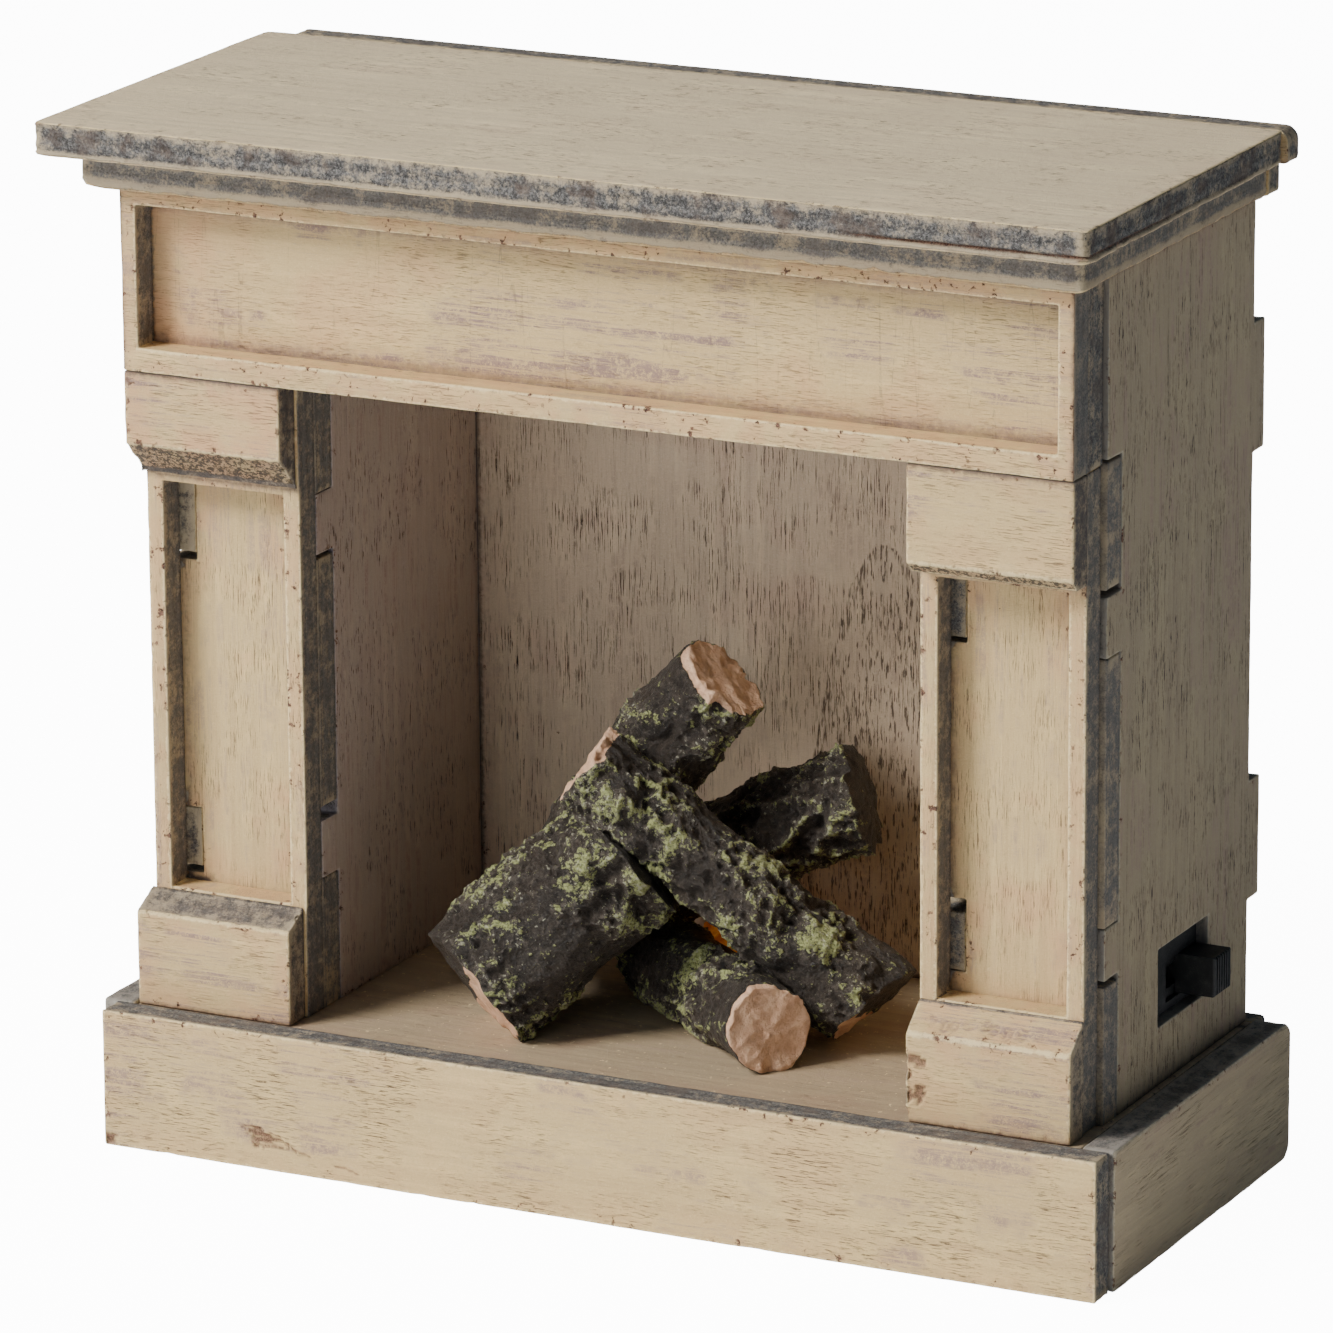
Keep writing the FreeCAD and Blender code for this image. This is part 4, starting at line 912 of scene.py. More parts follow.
# The lining's cast cools its cream: painted shade at the back of the firebox.
worn_board("firebox_lining", "firebox_back", 1, painted_finish(
    "firebox_lining_paint", "long", 91.3, pores=1.0, smudge=0.5, tint=0.3, wear=0.15, extra=pointed_grain,
    cast=(0.92, 1.0, 1.48)), seed=85, arris=(0.15, 0.15), grid=3.0, slot_name="firebox_ply",
    seams=[(2, hearth_top, 1.5), (0, fire_left, 1.2), (0, fire_right, 1.2)])


def light_flecks(t, paint, place, wood):
    """Small pale specks where a fine noise peaks, as of splashed filler."""
    return t.over(t.mul(t.rise(t.noise(place, 1.15, 3.0, 0.6), 0.665, 0.70), 0.75), paint, rubbed_cream)


def circle(x, y, radius):
    """Sixteen corners round a bore."""
    turn = np.linspace(0, 2 * np.pi, 17)[:-1]
    return np.column_stack([x + radius * np.cos(turn), y + radius * np.sin(turn)])


lamp_lo, lamp_hi = mm_box("flame_lamp")
lamp_middle = (lamp_lo + lamp_hi) / 2
lamp_bore = 2.6
# Tone and cast darken and cool the hearth: painted shade inside the firebox.
worn_board("hearth", "hearth_floor", 2, painted_finish(
    "hearth_paint", "x", 97.7, pores=0.3, smudge=0.4, tint=0.4, tone=0.66, wear=0.25, extra=light_flecks,
    cast=(0.95, 1.0, 1.30)), seed=86, arris=(0.2, 0.25), holes=[circle(lamp_middle[0], lamp_middle[1], lamp_bore)],
    grid=3.4, slot_name="firebox_ply",
    seams=[(0, fire_left, 0.9), (0, fire_right, 0.9), (1, mm_box("firebox_back")[0][1], 1.2)])

# ---------------------------------------------------------------- back panel
# A thinner board, stepped in behind the walls and left in thin paint. The walls' tabs
# show in its slots, and an upright window takes the battery holder.
holder_lo, holder_hi = mm_box("battery_holder")
trough_half = 7.1
trough_middle = (holder_lo[0] + holder_hi[0]) / 2
flange_ear = 7.5           # the holder's flange past its trough, above and below
trough_low, trough_high = holder_lo[2] + flange_ear, holder_hi[2] - flange_ear
foot_gap = 0.2
body_inset = 2.8
top_chamfer = 1.2
body_x0, body_x1 = left_lo[0] + body_inset, right_hi[0] - body_inset
foot_x0, foot_x1 = mm_box("plinth_side_left")[1][0] + foot_gap, mm_box("plinth_side_right")[0][0] - foot_gap
bed_inset_left = 2.0
bed_x0, bed_x1 = bed_lo[0] + bed_inset_left, bed_hi[0]
slot_spans = [(low - slot_clearance, high + slot_clearance) for low, high in back_tabs]
outline = [
    (foot_x0, 0.0), (foot_x1, 0.0), (foot_x1, hearth_top), (body_x1, hearth_top),
    *stepped(body_x1, slot_spans, right_lo[0] - slot_clearance - body_x1),
    (body_x1, bed_lo[2]), (bed_x1, bed_lo[2]), (bed_x1, shelf_lo[2]), (back_hi[0], shelf_lo[2]),
    (back_hi[0], shelf_hi[2] - top_chamfer), (back_hi[0] - top_chamfer, shelf_hi[2]),
    (back_lo[0] + top_chamfer, shelf_hi[2]), (back_lo[0], shelf_hi[2] - top_chamfer), (back_lo[0], shelf_lo[2]),
    (bed_x0, shelf_lo[2]), (bed_x0, bed_lo[2]), (body_x0, bed_lo[2]),
    *stepped(body_x0, slot_spans, left_hi[0] + slot_clearance - body_x0)[::-1],
    (body_x0, hearth_top), (foot_x0, hearth_top)]
back_holes = [rectangle((wall_lo[0] - slot_clearance, 0, low), (wall_hi[0] + slot_clearance, 0, high), 1)
              for wall_lo, wall_hi in ((inner_left_lo, inner_left_hi), (inner_right_lo, inner_right_hi))
              for low, high in slot_spans]
reach = trough_half + slot_clearance
back_holes.append(rectangle((trough_middle - reach, 0, trough_low - slot_clearance),
                            (trough_middle + reach, 0, trough_high + slot_clearance), 1))
worn_board("back_board", "back_panel", 1, painted_finish(
    "back_paint", "x", 104.6, pores=0.8, smudge=0.5, tint=0.3, tone=0.93, wear=0.25, cover=0.5), outline,
    holes=back_holes, seed=91, arris=(0.26, 0.16), second_ring=False, grid=3.0, chips=0.3, slot_name="back_ply",
    wobble=0.04, rounding=0.7, seams=[(2, shelf_lo[2], 0.6)])

# ---------------------------------------------------------------- plinth
# Three upright boards round the hearth board: the front one laps the ends of the two
# side ones, so that its own end grain shows at each corner.
plinth_lo = mm_box("plinth_front")[0]
chip_middle = (plinth_lo[0] + 28.8, 4.6)


def knocked_plinth(points, normals, marks):
    """Knocks in the face, pushed straight in: a long torn hollow with a ragged outline, a broken
    scratch beyond it, and a chipped lower left corner."""
    u, v = points[:, 0] - chip_middle[0], points[:, 2] - chip_middle[1]
    drawn = points * (0.3, 1, 1)
    ragged = 0.50 * soft_noise(drawn, 0.7, 91) + 0.3 * soft_noise(points, 0.45, 92)
    chip = smooth_step(1.15 - np.hypot((u + 1.0) / 4.2, (v + 0.10 * u) / 1.15) + ragged, 0.0, 0.45)
    chip = np.maximum(chip, smooth_step(0.9 - np.hypot((u + 3.6) / 2.8, (v - 1.6) / 0.6) + ragged, 0.0, 0.45))
    scratch = np.exp(-((v + 0.1 + 0.20 * u - 0.2 * soft_noise(points, 2.0, 93)) / 0.2) ** 2) * (u > 2) * (u < 14)
    scratch *= soft_noise(points, 2.2, 94) > -0.35
    corner = smooth_step(1.0 - np.hypot((points[:, 0] - plinth_lo[0]) / 2.0, points[:, 2] / 2.3) + ragged, 0.0, 0.4)
    face = normals[:, 1] < -0.8
    points[:, 1] += face * (0.40 * chip + 0.16 * np.minimum(scratch, 1) + 0.35 * corner)
    fresh = smooth_step(soft_noise(drawn, 0.45, 95), -0.15, 0.25)
    rim = smooth_step(chip, 0.12, 0.5) * (1 - 0.9 * fresh * smooth_step(chip, 0.5, 0.9))
    marks["scar"] = face * np.maximum.reduce([0.9 * rim, 0.7 * smooth_step(scratch, 0.4, 0.9),
                                              0.9 * smooth_step(corner, 0.3, 0.7)])
    return points


worn_board("plinth_front_board", "plinth_front", 1, painted_finish(
    "plinth_front_paint", "x", 111.1, pores=0.6, smudge=0.8, tint=0.25, wear=0.42, cover=0.42), seed=95,
    arris=(0.2, 0.36), rough=0.1, chips=0.8, damage=knocked_plinth,
    fine=[(chip_middle[0] - 7, chip_middle[0] + 14, 1.4, chip_middle[1] + 4, 0.3),
          (plinth_lo[0] + 1.5, plinth_lo[0] + 4, 1.4, 4.4, 0.35)])
side_chamfer = 1.5
for side, shift in (("left", 118.8), ("right", 125.5)):
    side_lo, side_hi = mm_box("plinth_side_" + side)
    side_outline = [(side_lo[1], side_lo[2]), (side_hi[1] - side_chamfer, side_lo[2]),
                    (side_hi[1], side_lo[2] + side_chamfer), (side_hi[1], side_hi[2] - side_chamfer),
                    (side_hi[1] - side_chamfer, side_hi[2]), (side_lo[1], side_hi[2])]
    # Tone and cast darken and cool both plinth ends: painted shade, for the right-hand end turned from the lamp.
    worn_board("plinth_" + side, "plinth_side_" + side, 0, painted_finish(
        "plinth_paint_" + side, "y", shift, pores=0.5, smudge=0.6, tint=0.15, wear=0.4, cover=0.6, pale=0.6,
        tone=0.84, cast=(0.90, 1.0, 1.32)), side_outline, seed=100 + int(shift), arris=(0.34, 0.34), rough=0.1,
        chips=0.8, rounding=0.6)

# ---------------------------------------------------------------- logs
# The fire is cast in resin from carved masters: five knobbly logs laid across each
# other, painted bark brown, dry-brushed in lichen green, with flesh-pink sawn ends.
LOG_COLUMNS = 190
LOG_ROWS = 150
CAP_ROWS = 24
cast_shift = np.array([1.35, -30.7, hearth_top])
above_hearth = 0.03       # how far the lowest points stay clear of the board


def fan(tip, ring, after):
    """Triangles from one point to each side of a ring."""
    return np.stack([np.full(len(ring), tip), ring, after], 1)


def log_surface(low, high, radii, bend, ends, knots, seed, craggy=0.0, wedge=None, flare=0.0):
    """A tube on a grid of angle a and share s: centre(s) + r(s) (cos a e1 + sin a e2), where s runs
    between the two end planes and centre(s) bows by bend sin(pi s). The radius moves by lumps
    (wide noise), crags (folded noise 1 - 2|n|) and knots (a bell with a groove round it). Each end
    is closed by shrinking its rim to the middle with a little noise along the end's normal. A flare
    narrows the waist, and a wedge bares a crescent at the upper end, on the side it faces."""
    low, high = np.array(low) + cast_shift, np.array(high) + cast_shift
    reach = np.linalg.norm(high - low)
    axis = (high - low) / reach
    e1 = np.cross(axis, (0.0, 0.0, 1.0))
    e1 /= np.linalg.norm(e1)
    e2 = np.cross(axis, e1)
    angle = np.arange(LOG_COLUMNS) * 2 * np.pi / LOG_COLUMNS
    spoke = np.cos(angle)[:, None] * e1 + np.sin(angle)[:, None] * e2
    normals = [np.array(end[0], float) / np.linalg.norm(end[0]) for end in ends]
    starts = [-(spoke * radii[k]) @ normals[k] / (axis @ normals[k]) + (0.0, reach)[k] for k in (0, 1)]
    ragged = [0.60 * soft_noise(spoke * 6 + k * 30, 1.6, seed + 20) for k in (0, 1)]
    share = np.linspace(0, 1, LOG_ROWS)[:, None]
    along = (starts[0] + ragged[0]) * (1 - share) + (starts[1] + ragged[1]) * share
    shape = along.shape
    rough_share = np.clip(along / reach, 0, 1)
    radius = (radii[0] + (radii[1] - radii[0]) * rough_share) * (1 - flare * (1 - np.cos(2 * np.pi * rough_share)))
    bow = np.sin(np.pi * rough_share)[..., None] * np.array(bend)
    skin = low + along[..., None] * axis + bow + radius[..., None] * spoke
    flat = skin.reshape(-1, 3)
    drawn = flat - ((flat - low) @ axis * 0.62)[:, None] * axis
    lumps = 0.75 * soft_noise(flat, 9.0, seed) + 0.4 * soft_noise(drawn, 3.8, seed + 1)
    patch = smooth_step(soft_noise(flat, 11.0, seed + 5) + craggy, -0.30, 0.30)
    crags = (0.80 * (1 - 2 * np.abs(soft_noise(drawn, 2.4, seed + 2)))
             + 0.60 * (1 - 2 * np.abs(soft_noise(flat, 1.3, seed + 3))))
    grit = 0.25 * soft_noise(flat, 0.6, seed + 4)
    relief = patch * (crags + grit) + (1 - patch) * (0.16 * soft_noise(drawn, 0.9, seed + 6) + 0.2 * crags)
    bumps = np.zeros(len(flat))
    for x, y, z, size, height in knots:
        away = np.linalg.norm(flat - (np.array((x, y, z)) + (cast_shift[0], cast_shift[1], 0)), axis=1) / size
        bumps += height * np.exp(-away ** 2) - 0.45 * height * np.exp(-((away - 1.55) / 0.35) ** 2)
    skin = skin + (lumps + relief + bumps).reshape(shape)[..., None] * spoke
    cut = np.zeros(shape)
    if wedge:
        toward, width, depth = wedge
        facing = smooth_step(spoke @ np.array(toward), 0.1, 0.8) * width
        from_end = (starts[1] - along) + 0.5 * soft_noise(flat, 1.5, seed + 8).reshape(shape)
        cut = smooth_step(facing - from_end, -0.15, 0.25)
        deep = depth * (1 + 0.4 * soft_noise(flat, 1.1, seed + 9).reshape(shape))
        skin = skin - (cut * deep)[..., None] * spoke
    discs, pinks, tips = [], [], []
    inward = np.linspace(1, 0, CAP_ROWS + 1)[1:-1]
    for k, row in ((0, 0), (1, -1)):
        normal, toward, limit, swollen = normals[k], np.array(ends[k][1], float), ends[k][2], ends[k][3]
        rim = skin[row]
        middle = rim.mean(0)
        off = rim - middle
        rise = (off @ normal)[:, None] * normal
        disc = middle + (off - rise)[None] * inward[:, None, None] + rise[None] * inward[:, None, None] ** 5
        spot = disc.reshape(-1, 3)
        swell = 0.40 * soft_noise(spot, 2.6, seed + 12 + k) + 0.20 * soft_noise(spot, 1.0, seed + 14 + k)
        swell += swollen * (1 - np.repeat(inward, LOG_COLUMNS) ** 2)
        swell = swell.reshape(len(inward), -1) * smooth_step(1 - inward, 0, 0.12)[:, None]
        disc = disc + swell[..., None] * normal
        side = ((disc - middle) @ toward) / radii[k]
        side = side + 0.15 * soft_noise(spot, 1.6, seed + 16 + k).reshape(disc.shape[:2])
        discs.append(disc)
        pinks.append(smooth_step(side, limit - 0.06, limit + 0.06))
        tips.append(middle + normal * swollen)
    body = np.concatenate([discs[0][::-1], skin, discs[1]]).reshape(-1, 3)
    points = np.concatenate([body, tips])
    pink = np.concatenate([pinks[0][::-1], cut, pinks[1]]).ravel()
    pink = np.concatenate([pink, [pink[0], pink[-1]]])
    cap_points = len(inward) * LOG_COLUMNS
    lift = np.pad(relief + 0.5 * bumps.clip(0, 1), (cap_points, cap_points + len(tips)))
    ring = np.arange(LOG_COLUMNS)
    after = (ring + 1) % LOG_COLUMNS
    last = len(body) - LOG_COLUMNS
    faces = np.concatenate([ring_bands(len(body) // LOG_COLUMNS, after)[:, ::-1], fan(len(body), after, ring),
                            fan(len(body) + 1, last + ring, last + after)])
    p, q, w = (points[faces[:, k]] for k in range(3))
    if np.einsum("ij,ij->i", p, np.cross(q, w)).sum() < 0:
        faces = faces[:, ::-1]
    points[:, 2] = np.maximum(points[:, 2], hearth_top + above_hearth)
    return points, faces, {"cut": pink, "relief": lift}


def bark_finish(name, shift, lichen, worn_pink):
    """Bark brown with lichen green on the raised crags, pale flecks, painted highlights on the ridges, and pink where
    sawn.
    """
    t = Shader(bpy.data.materials.new(name))
    place = t.vector("ADD", t.millimetres(), (shift, shift, shift))
    cut, relief = t.mark("cut"), t.mark("relief")
    wide, mid, fine = t.noise(place, 0.14, 4.0, 0.6), t.noise(place, 0.55, 6.0, 0.68), t.noise(place, 2.6, 5.0, 0.7)
    ridge = t.maths("ABSOLUTE", t.maths("SUBTRACT", t.noise(place, 0.62, 5.0, 0.62), 0.5))
    high = t.weigh(t.mul(wide, 0.62), (mid, 0.66), (relief, 0.20), (fine, 0.40), (ridge, 1.3))
    green = t.rise(high, 1.102 - lichen, 1.130 - lichen)
    lichen_colour = t.over(t.rise(fine, 0.36, 0.60), (0.150, 0.165, 0.050), (0.470, 0.490, 0.205))
    # rubbed here is a painted highlight: the raised ridges made lighter, for the sheen of the bark.
    rubbed = t.rise(t.mul_add(relief, 0.16, t.noise(place, 1.2, 5.0, 0.72)), 0.56, 0.70, 0.75)
    fleck = t.rise(t.mul_add(relief, 0.10, t.noise(place, 1.7, 3.0, 0.6)), 0.685, 0.73)
    sawn = t.coats((0.700, 0.395, 0.235),
                   (t.rise(mid, 0.36, 0.66), (0.910, 0.585, 0.370)),
                   (t.rise(fine, 0.60, 0.74, worn_pink), (0.35, 0.19, 0.13)),
                   (0.45 - worn_pink, (0.950, 0.630, 0.410)))
    torn = t.rise(t.mul_add(t.maths("SUBTRACT", mid, 0.5), 0.7, cut), 0.40, 0.55)
    colour = t.coats((0.014, 0.010, 0.008),
                     (t.rise(mid, 0.36, 0.64), (0.048, 0.037, 0.028)),
                     # The next two coats are painted highlights, on fine specks and on the ridges.
                     (t.rise(fine, 0.48, 0.68, 0.60), (0.120, 0.098, 0.078)),
                     (rubbed, (0.150, 0.125, 0.098)),
                     (t.rise(wide, 0.60, 0.40, 0.35), (0.052, 0.036, 0.024)),
                     (t.mul(green, 0.92), lichen_colour),
                     (t.mul(fleck, 0.7), (0.52, 0.50, 0.36)),
                     (torn, sawn))
    lift = t.weigh(t.mul(mid, 1.3), (fine, 0.8), (green, 0.30), (ridge, t.mul_add(torn, -2.6, 3.2)))
    gloss = t.mul_add(torn, 0.25, t.mul_add(fine, 0.35, 0.27), clamp=True)
    return t.finished({"Base Color": colour, "Roughness": gloss, "Normal": t.bump(0.9, 0.00075, lift),
                       "Specular IOR Level": 0.45})


# Each end: the way it faces, the way its pink part lies on it and from what share of the
# radius, and how far it swells out in the middle.
logs = {
    "large": dict(low=(-24.6, 10.6, 6.6), high=(-4.5, 22.4, 26.5), radii=(10.0, 10.2), bend=(0, -0.4, 0.8),
                  ends=[((-0.56, -0.60, -0.57), (0.25, -0.5, -0.83), 0.0, 0.3),
                        ((0.66, 0.39, 0.65), (0, 0, 1), 3.0, 1.5)],
                  knots=[(-6.8, 12.0, 50.5, 3.6, 2.0), (-11.8, 13.5, 52.5, 2.2, 1.3), (0.4, 13.0, 47.5, 3.2, 1.8),
                         (-15.0, 8.0, 36.0, 2.0, 0.9), (-2.5, 13.0, 40.0, 2.6, 1.0), (-22.0, 5.0, 38.0, 1.7, 0.7)],
                  seed=201, craggy=0.18),
    "rear": dict(low=(-26.0, 33.0, 7.2), high=(4.4, 33.6, 51.6), radii=(8.0, 6.7), bend=(-0.6, 0, 0.5),
                 ends=[((-0.5, -0.3, -0.8), (0, 0, 1), 3.0, 0.3), ((0.66, 0.10, 0.74), (0, 0, 1), -3.0, -0.1)],
                 knots=[(5.5, 27.0, 61.5, 3.0, 1.6), (-3.5, 27.0, 66.5, 2.4, 1.2), (8.5, 30.0, 66.0, 1.8, 0.9),
                        (-5.0, 30.0, 73.0, 1.6, 0.8)],
                 seed=223, craggy=0.30, wedge=((-0.35, -0.93, 0.1), 1.4, 0.8)),
    "crossing": dict(low=(31.2, 29.5, 6.3), high=(-9.6, 17.6, 40.6), radii=(7.4, 6.0), bend=(0.3, 0.4, -0.6),
                     ends=[((0.70, -0.05, -0.71), (-0.4, -0.3, -0.85), 0.30, 0.2),
                           ((-0.79, -0.24, 0.56), (0, 0, 1), -3.0, -0.1)],
                     knots=[(-2.0, 14.0, 58.5, 2.6, 1.4), (3.5, 16.5, 58.5, 2.0, 1.1), (25.5, 23.0, 37.5, 3.4, 1.3),
                            (28.5, 25.5, 41.0, 2.2, 1.2), (20.0, 20.5, 36.0, 2.2, 0.9), (31.0, 24.0, 33.0, 2.4, 1.0)],
                     seed=247, craggy=0.05, wedge=((0.2, -0.2, 0.96), 1.4, 0.3), flare=0.06),
    "back": dict(low=(-17.0, 46.0, 12.5), high=(21.5, 46.0, 32.0), radii=(6.6, 7.2), bend=(0, 0, 0.4),
                 ends=[((-0.89, 0, -0.45), (0, 0, 1), 3.0, 0.3), ((0.93, 0.30, 0.25), (0, 0, 1), 3.0, 1.3)],
                 knots=[(19.0, 42.0, 60.5, 2.4, 1.4), (22.0, 40.0, 50.0, 2.6, 1.2), (12.0, 42.0, 58.0, 1.8, 0.8),
                        (23.5, 44.0, 60.0, 1.8, 1.1)],
                 seed=269, craggy=-0.02),
    "front": dict(low=(-8.6, 38.6, 5.8), high=(22.6, 11.6, 6.4), radii=(5.6, 6.5), bend=(0.3, 0.2, -0.2),
                  ends=[((-0.755, 0.655, 0), (0, 0, 1), 3.0, 0.3), ((0.78, -0.62, 0.06), (0, 0, 1), -3.0, -0.1)],
                  knots=[(10.0, 20.0, 32.5, 2.4, 0.9), (14.5, 14.0, 29.0, 1.8, 0.7), (6.5, 24.0, 33.5, 2.2, 0.9)],
                  seed=283, craggy=0.10, wedge=((-0.5, -0.3, 0.8), 1.2, 0.25), flare=0.02),
}
for number, (log_name, values) in enumerate(logs.items()):
    # The rear log's sawn ends lie in shade: with fewer dark spots they get more pale pink, painted light.
    lichen, worn_pink = {"back": (-0.04, 0.35), "rear": (0.0, 0.05)}.get(log_name, (0.0, 0.35))
    bark = bark_finish("bark_" + log_name, 7.0 * number, lichen, worn_pink)
    make_piece("log_" + log_name + "_cast", *log_surface(**values), bark, "mantel", "painted_bark",
               ["log_" + log_name])

# ---------------------------------------------------------------- embers
# A rough lump of clear amber resin sits over the lamp and scatters its light; a faint glow of
# its own, painted light, adds to that, so that it glows through the gaps between the logs.
EMBER_COLUMNS, EMBER_ROWS = 96, 60
ember_foot, ember_taper, ember_height = 7.6, 3.0, 13.0
dome_from, dome_share = 0.72, 0.28      # shares of the height, below the closing top and in it
ember_lo, ember_hi = mm_box("ember_bed")
ember_middle = np.array([lamp_middle[0], lamp_middle[1], ember_lo[2]])
turn, climb = np.meshgrid(np.arange(EMBER_COLUMNS) * 2 * np.pi / EMBER_COLUMNS, np.linspace(0, 1, EMBER_ROWS))
# The radius falls evenly with height, and closes over the top as a quarter circle.
dome = np.sqrt(np.clip(1 - np.clip((climb - dome_from) / dome_share, 0, 1) ** 2, 0, 1))
ember_radius = (ember_foot - ember_taper * climb) * dome
ember_points = np.stack([ember_radius * np.cos(turn), ember_radius * np.sin(turn), ember_height * climb], -1)
ember_points = (ember_middle + ember_points).reshape(-1, 3)
ember_way = np.stack([np.cos(turn), np.sin(turn), 0.4 * climb], -1).reshape(-1, 3)
facet = 0.8 * (1 - 2 * np.abs(soft_noise(ember_points, 3.2, 311))) + 0.35 * soft_noise(ember_points, 1.2, 312)
ember_points = ember_points + ember_way * (facet * np.minimum(1, ember_radius.ravel()))[:, None]
ember_points[:, 2] = np.clip(ember_points[:, 2], ember_lo[2] + above_hearth, ember_hi[2])
ember_points = np.concatenate([ember_points, [ember_middle + (0, 0, above_hearth)]])
foot_ring = np.arange(EMBER_COLUMNS)
foot_after = (foot_ring + 1) % EMBER_COLUMNS
ember_faces = np.concatenate([ring_bands(EMBER_ROWS, foot_after)[:, ::-1],
                              fan(len(ember_points) - 1, foot_after, foot_ring)])
amber = Shader(bpy.data.materials.new("amber_resin"))
amber_place = amber.millimetres()
amber_swirl = amber.rise(amber.noise(amber_place, 0.35, 4.0, 0.6), 0.35, 0.65)
amber_resin = amber.finished({
    "Base Color": amber.over(amber_swirl, (0.42, 0.11, 0.015), (0.75, 0.32, 0.07)), "Roughness": 0.22,
    # The emission is a painted glow: the resin is no lamp, it stands in for the lamp's light scattered inside it.
    "Emission Color": amber.over(amber_swirl, (0.55, 0.10, 0.008), (1.0, 0.36, 0.05)), "Emission Strength": 0.16,
    "Normal": amber.bump(0.6, 0.0003, amber.noise(amber_place, 1.4, 3.0, 0.5)),
    "Subsurface Weight": 0.4, "Subsurface Scale": 0.002})
make_piece("ember_lump", ember_points, ember_faces, {"relief": np.append(facet, 0.0)}, amber_resin, "mantel",
           "amber_resin", ["ember_bed"])

# ---------------------------------------------------------------- lamp
# A clear amber lamp, cast in one piece with a flange, pushed up through the hearth
# board. Its two tinned leads are bent over below the board and soldered to the wires.
def dress(nodes, material):
    """A finish for the meshes that some CAD nodes have of their own."""
    for node in nodes:
        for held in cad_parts[node].material_slots:
            held.link = "OBJECT"
            held.material = material


def hard_finish(name, shift, dark, light, scale, rough, depth, dust, stretch=(1, 1, 1), metal=0.0, tint=None):
    """A moulded or drawn surface: two tones by a wide noise, fine grain that sets the sheen and the
    bump, and settled dust; tint(t, colour, place) may lay more on."""
    t = Shader(bpy.data.materials.new(name))
    scaled = t.millimetres()
    drawn = t.vector("MULTIPLY", t.vector("ADD", scaled, (shift, shift, shift)), stretch)
    broad, grain = t.noise(drawn, 0.22 * scale, 4.0, 0.6), t.noise(drawn, 3.2 * scale, 4.0, 0.65)
    colour = t.coats(dark, (t.rise(broad, 0.35, 0.65), light), (t.rise(grain, 0.50, 0.72, 0.35), light))
    if tint:
        colour = tint(t, colour, scaled)
    settled = t.rise(t.mul_add(grain, 0.5, t.mul(broad, 0.5)), 0.50, 0.66, dust)
    return t.finished({"Base Color": t.over(settled, colour, (0.42, 0.38, 0.32)), "Metallic": metal,
                       "Roughness": t.ramp(grain, 0.35, 0.7, *rough), "Normal": t.bump(0.6, depth, grain)})


glow = Shader(bpy.data.materials.new("clear_amber_lamp"))
lamp_place = glow.millimetres()
lamp_swirl = glow.noise(lamp_place, 0.8, 3.0, 0.5)
lamp_hot = glow.rise(glow.mul_add(lamp_swirl, 2.0, glow.axis("Z", lamp_place)), float(lamp_lo[2] + 1.5),
                     float(lamp_hi[2]))
lamp_colour = glow.over(lamp_hot, (0.60, 0.16, 0.02), (1.0, 0.50, 0.10))
dress(["flame_lamp"], glow.finished({
    "Base Color": lamp_colour, "Roughness": glow.mul_add(lamp_swirl, 0.12, 0.06), "Emission Color": lamp_colour,
    "Emission Strength": 0.8, "Subsurface Weight": 0.3, "Subsurface Scale": 0.002}))
dress(["lamp_leads"], hard_finish("tinned_lead", 4.0, (0.50, 0.50, 0.48), (0.74, 0.74, 0.71), 2.0, (0.25, 0.50),
                                  0.00004, 0.10, metal=1.0))

# ---------------------------------------------------------------- switch
# A slide switch behind an oblong hole in the right-hand wall: a box moulded in black
# plastic, glued by its flange, whose knob carries a brass bridge over two terminals.
def paper_layers(t, colour, place):
    """Fine dark lines across the sheet's edge, one for each layer of paper."""
    line = t.rise(t.maths("SINE", t.mul(t.axis("X", place), 31.0)), 0.4, 1.0, 0.4)
    return t.over(line, colour, (0.06, 0.025, 0.012))


# The housing's and the knob's blacks are darker than black plastic is, to paint the shade inside the switch hole; the
# battery holder shares the housing's.
moulded_black = hard_finish("moulded_black_plastic", 11.0, (0.0030, 0.0030, 0.0032), (0.0065, 0.0065, 0.0070), 1.0,
                            (0.58, 0.78), 0.00005, 0.05)
dress(["switch_housing"], moulded_black)
dress(["switch_knob"], hard_finish("finger_worn_black_plastic", 17.0, (0.0035, 0.0035, 0.0038),
                                   (0.0090, 0.0090, 0.0095), 1.6, (0.48, 0.70), 0.00005, 0.08))
dress(["switch_bridge", "switch_terminals"],
      hard_finish("stamped_brass", 23.0, (0.46, 0.30, 0.10), (0.76, 0.57, 0.26), 1.2, (0.22, 0.48), 0.00003, 0.06,
                  stretch=(1, 0.15, 1), metal=1.0))
dress(["switch_board"], hard_finish("phenolic_sheet", 29.0, (0.14, 0.055, 0.022), (0.25, 0.11, 0.048), 1.0,
                                    (0.35, 0.55), 0.00003, 0.05, stretch=(1, 0.3, 1), tint=paper_layers))

# ---------------------------------------------------------------- battery compartment
# A long black trough moulded in one piece, let into the back panel and held by two
# screws. A lid slides off backwards; two cells stand end to end between spring strips.
cells = ["battery_cell_lower", "battery_cell_upper"]


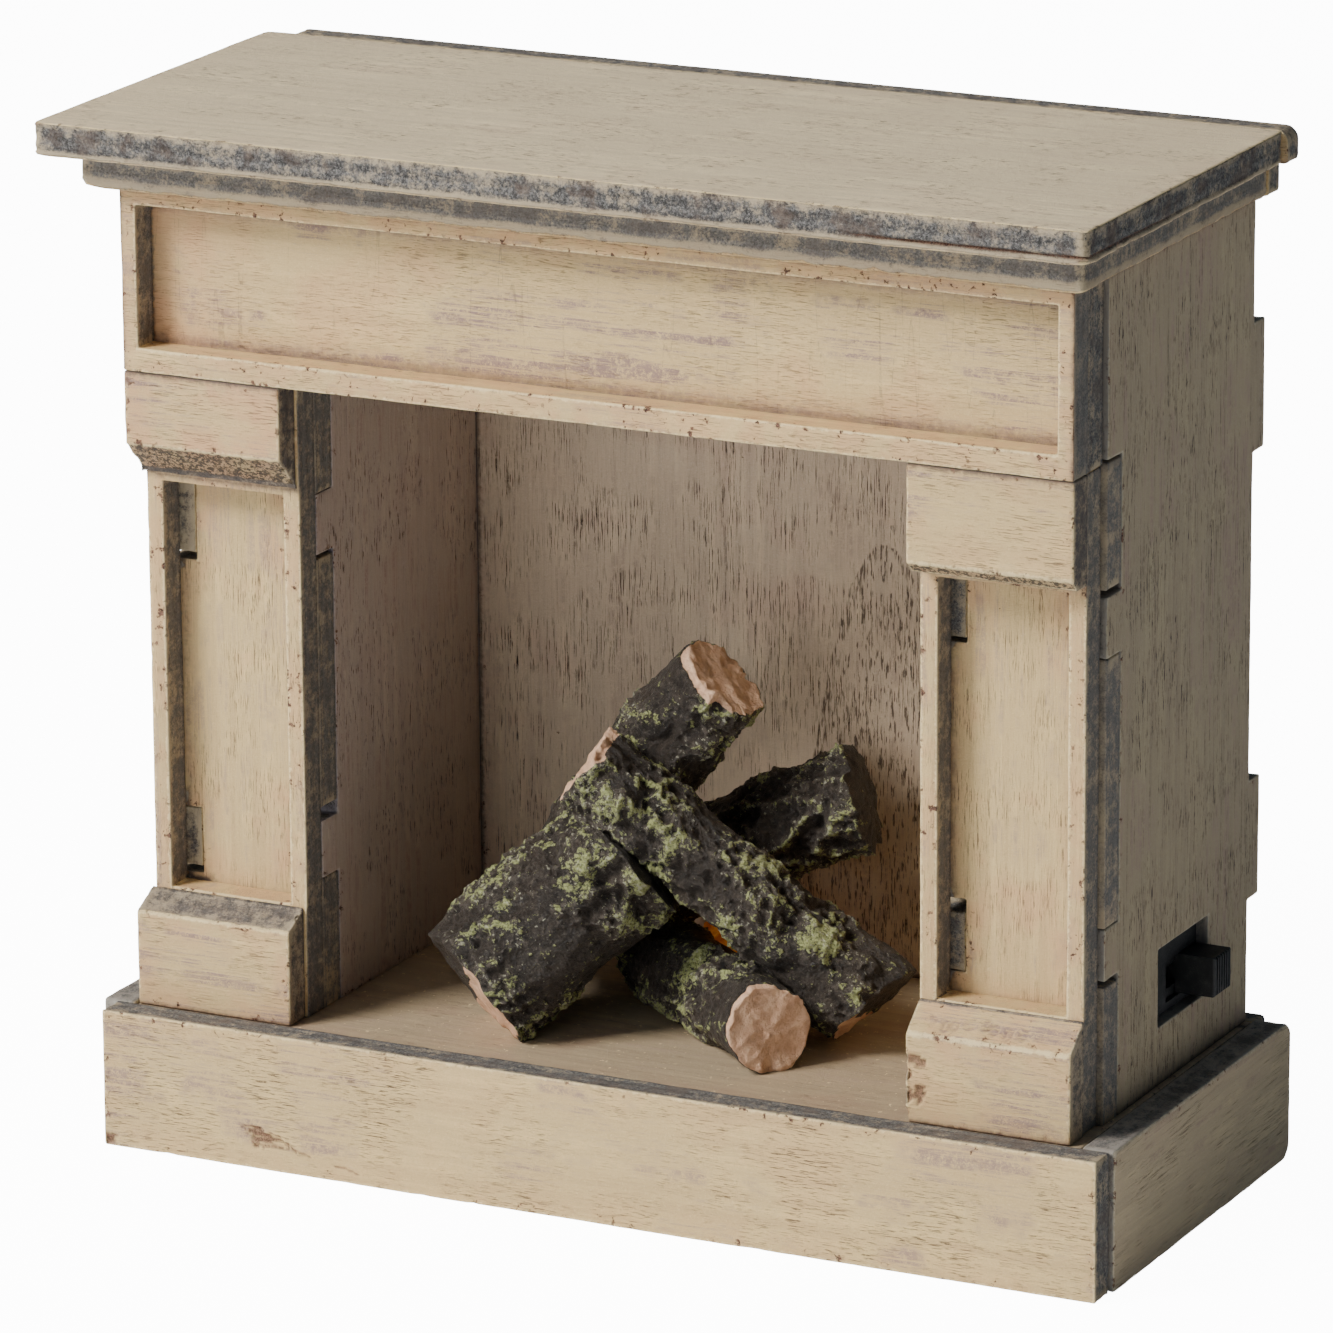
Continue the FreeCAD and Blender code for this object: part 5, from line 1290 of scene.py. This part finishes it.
def cell_jacket_bands(t, colour, place):
    """Bare steel at both ends of each cell and a pale band under its upper end, by height."""
    level = t.axis("Z", place)
    for lo, hi in map(mm_box, cells):
        def step(edge, start, end):
            return t.rise(level, float(edge[2] + start), float(edge[2] + end))

        ends = t.maths("MAXIMUM", step(lo, 0.9, 0.8), step(hi, -2.0, -1.9))
        steel = t.mul(t.mul(step(lo, -0.01, 0), step(hi, 0.01, 0)), ends)
        band = t.mul(step(hi, -9.0, -8.9), step(hi, -5.9, -6.0))
        colour = t.coats(colour, (band, (0.62, 0.63, 0.60)), (steel, (0.55, 0.55, 0.54)))
    return colour


dress(["battery_holder"], moulded_black)
dress(["battery_lid"], hard_finish("lid_black_plastic", 37.0, (0.0075, 0.0075, 0.0080), (0.016, 0.016, 0.017), 1.3,
                                   (0.34, 0.58), 0.00006, 0.12, stretch=(1, 1, 0.4)))
dress(["battery_screws"], hard_finish("zinc_plated_screw", 41.0, (0.36, 0.36, 0.35), (0.62, 0.62, 0.60), 2.0,
                                      (0.24, 0.46), 0.00003, 0.10, metal=1.0))
dress(cells, hard_finish("cell_jacket", 47.0, (0.055, 0.10, 0.13), (0.085, 0.145, 0.18), 0.8, (0.22, 0.34),
                         0.00002, 0.04, stretch=(1, 1, 0.2), tint=cell_jacket_bands))
dress(["battery_contact_bottom", "battery_contact_top"],
      hard_finish("plated_spring_strip", 53.0, (0.46, 0.46, 0.45), (0.70, 0.70, 0.68), 1.6, (0.20, 0.42), 0.00003,
                  0.05, stretch=(1, 1, 0.15), metal=1.0))

# ---------------------------------------------------------------- wires
# Three short lengths of thin stranded wire in soft vinyl, soldered between the lamp,
# the switch and the cells' contacts, and hidden inside the body.
vinyl = dict(scale=1.2, rough=(0.30, 0.50), depth=0.00003, dust=0.12)
dress(["wire_lamp", "wire_positive"], hard_finish("red_vinyl", 59.0, (0.36, 0.020, 0.014), (0.50, 0.035, 0.024),
                                                  **vinyl))
dress(["wire_negative"], hard_finish("black_vinyl", 61.0, (0.010, 0.010, 0.011), (0.022, 0.022, 0.023), **vinyl))
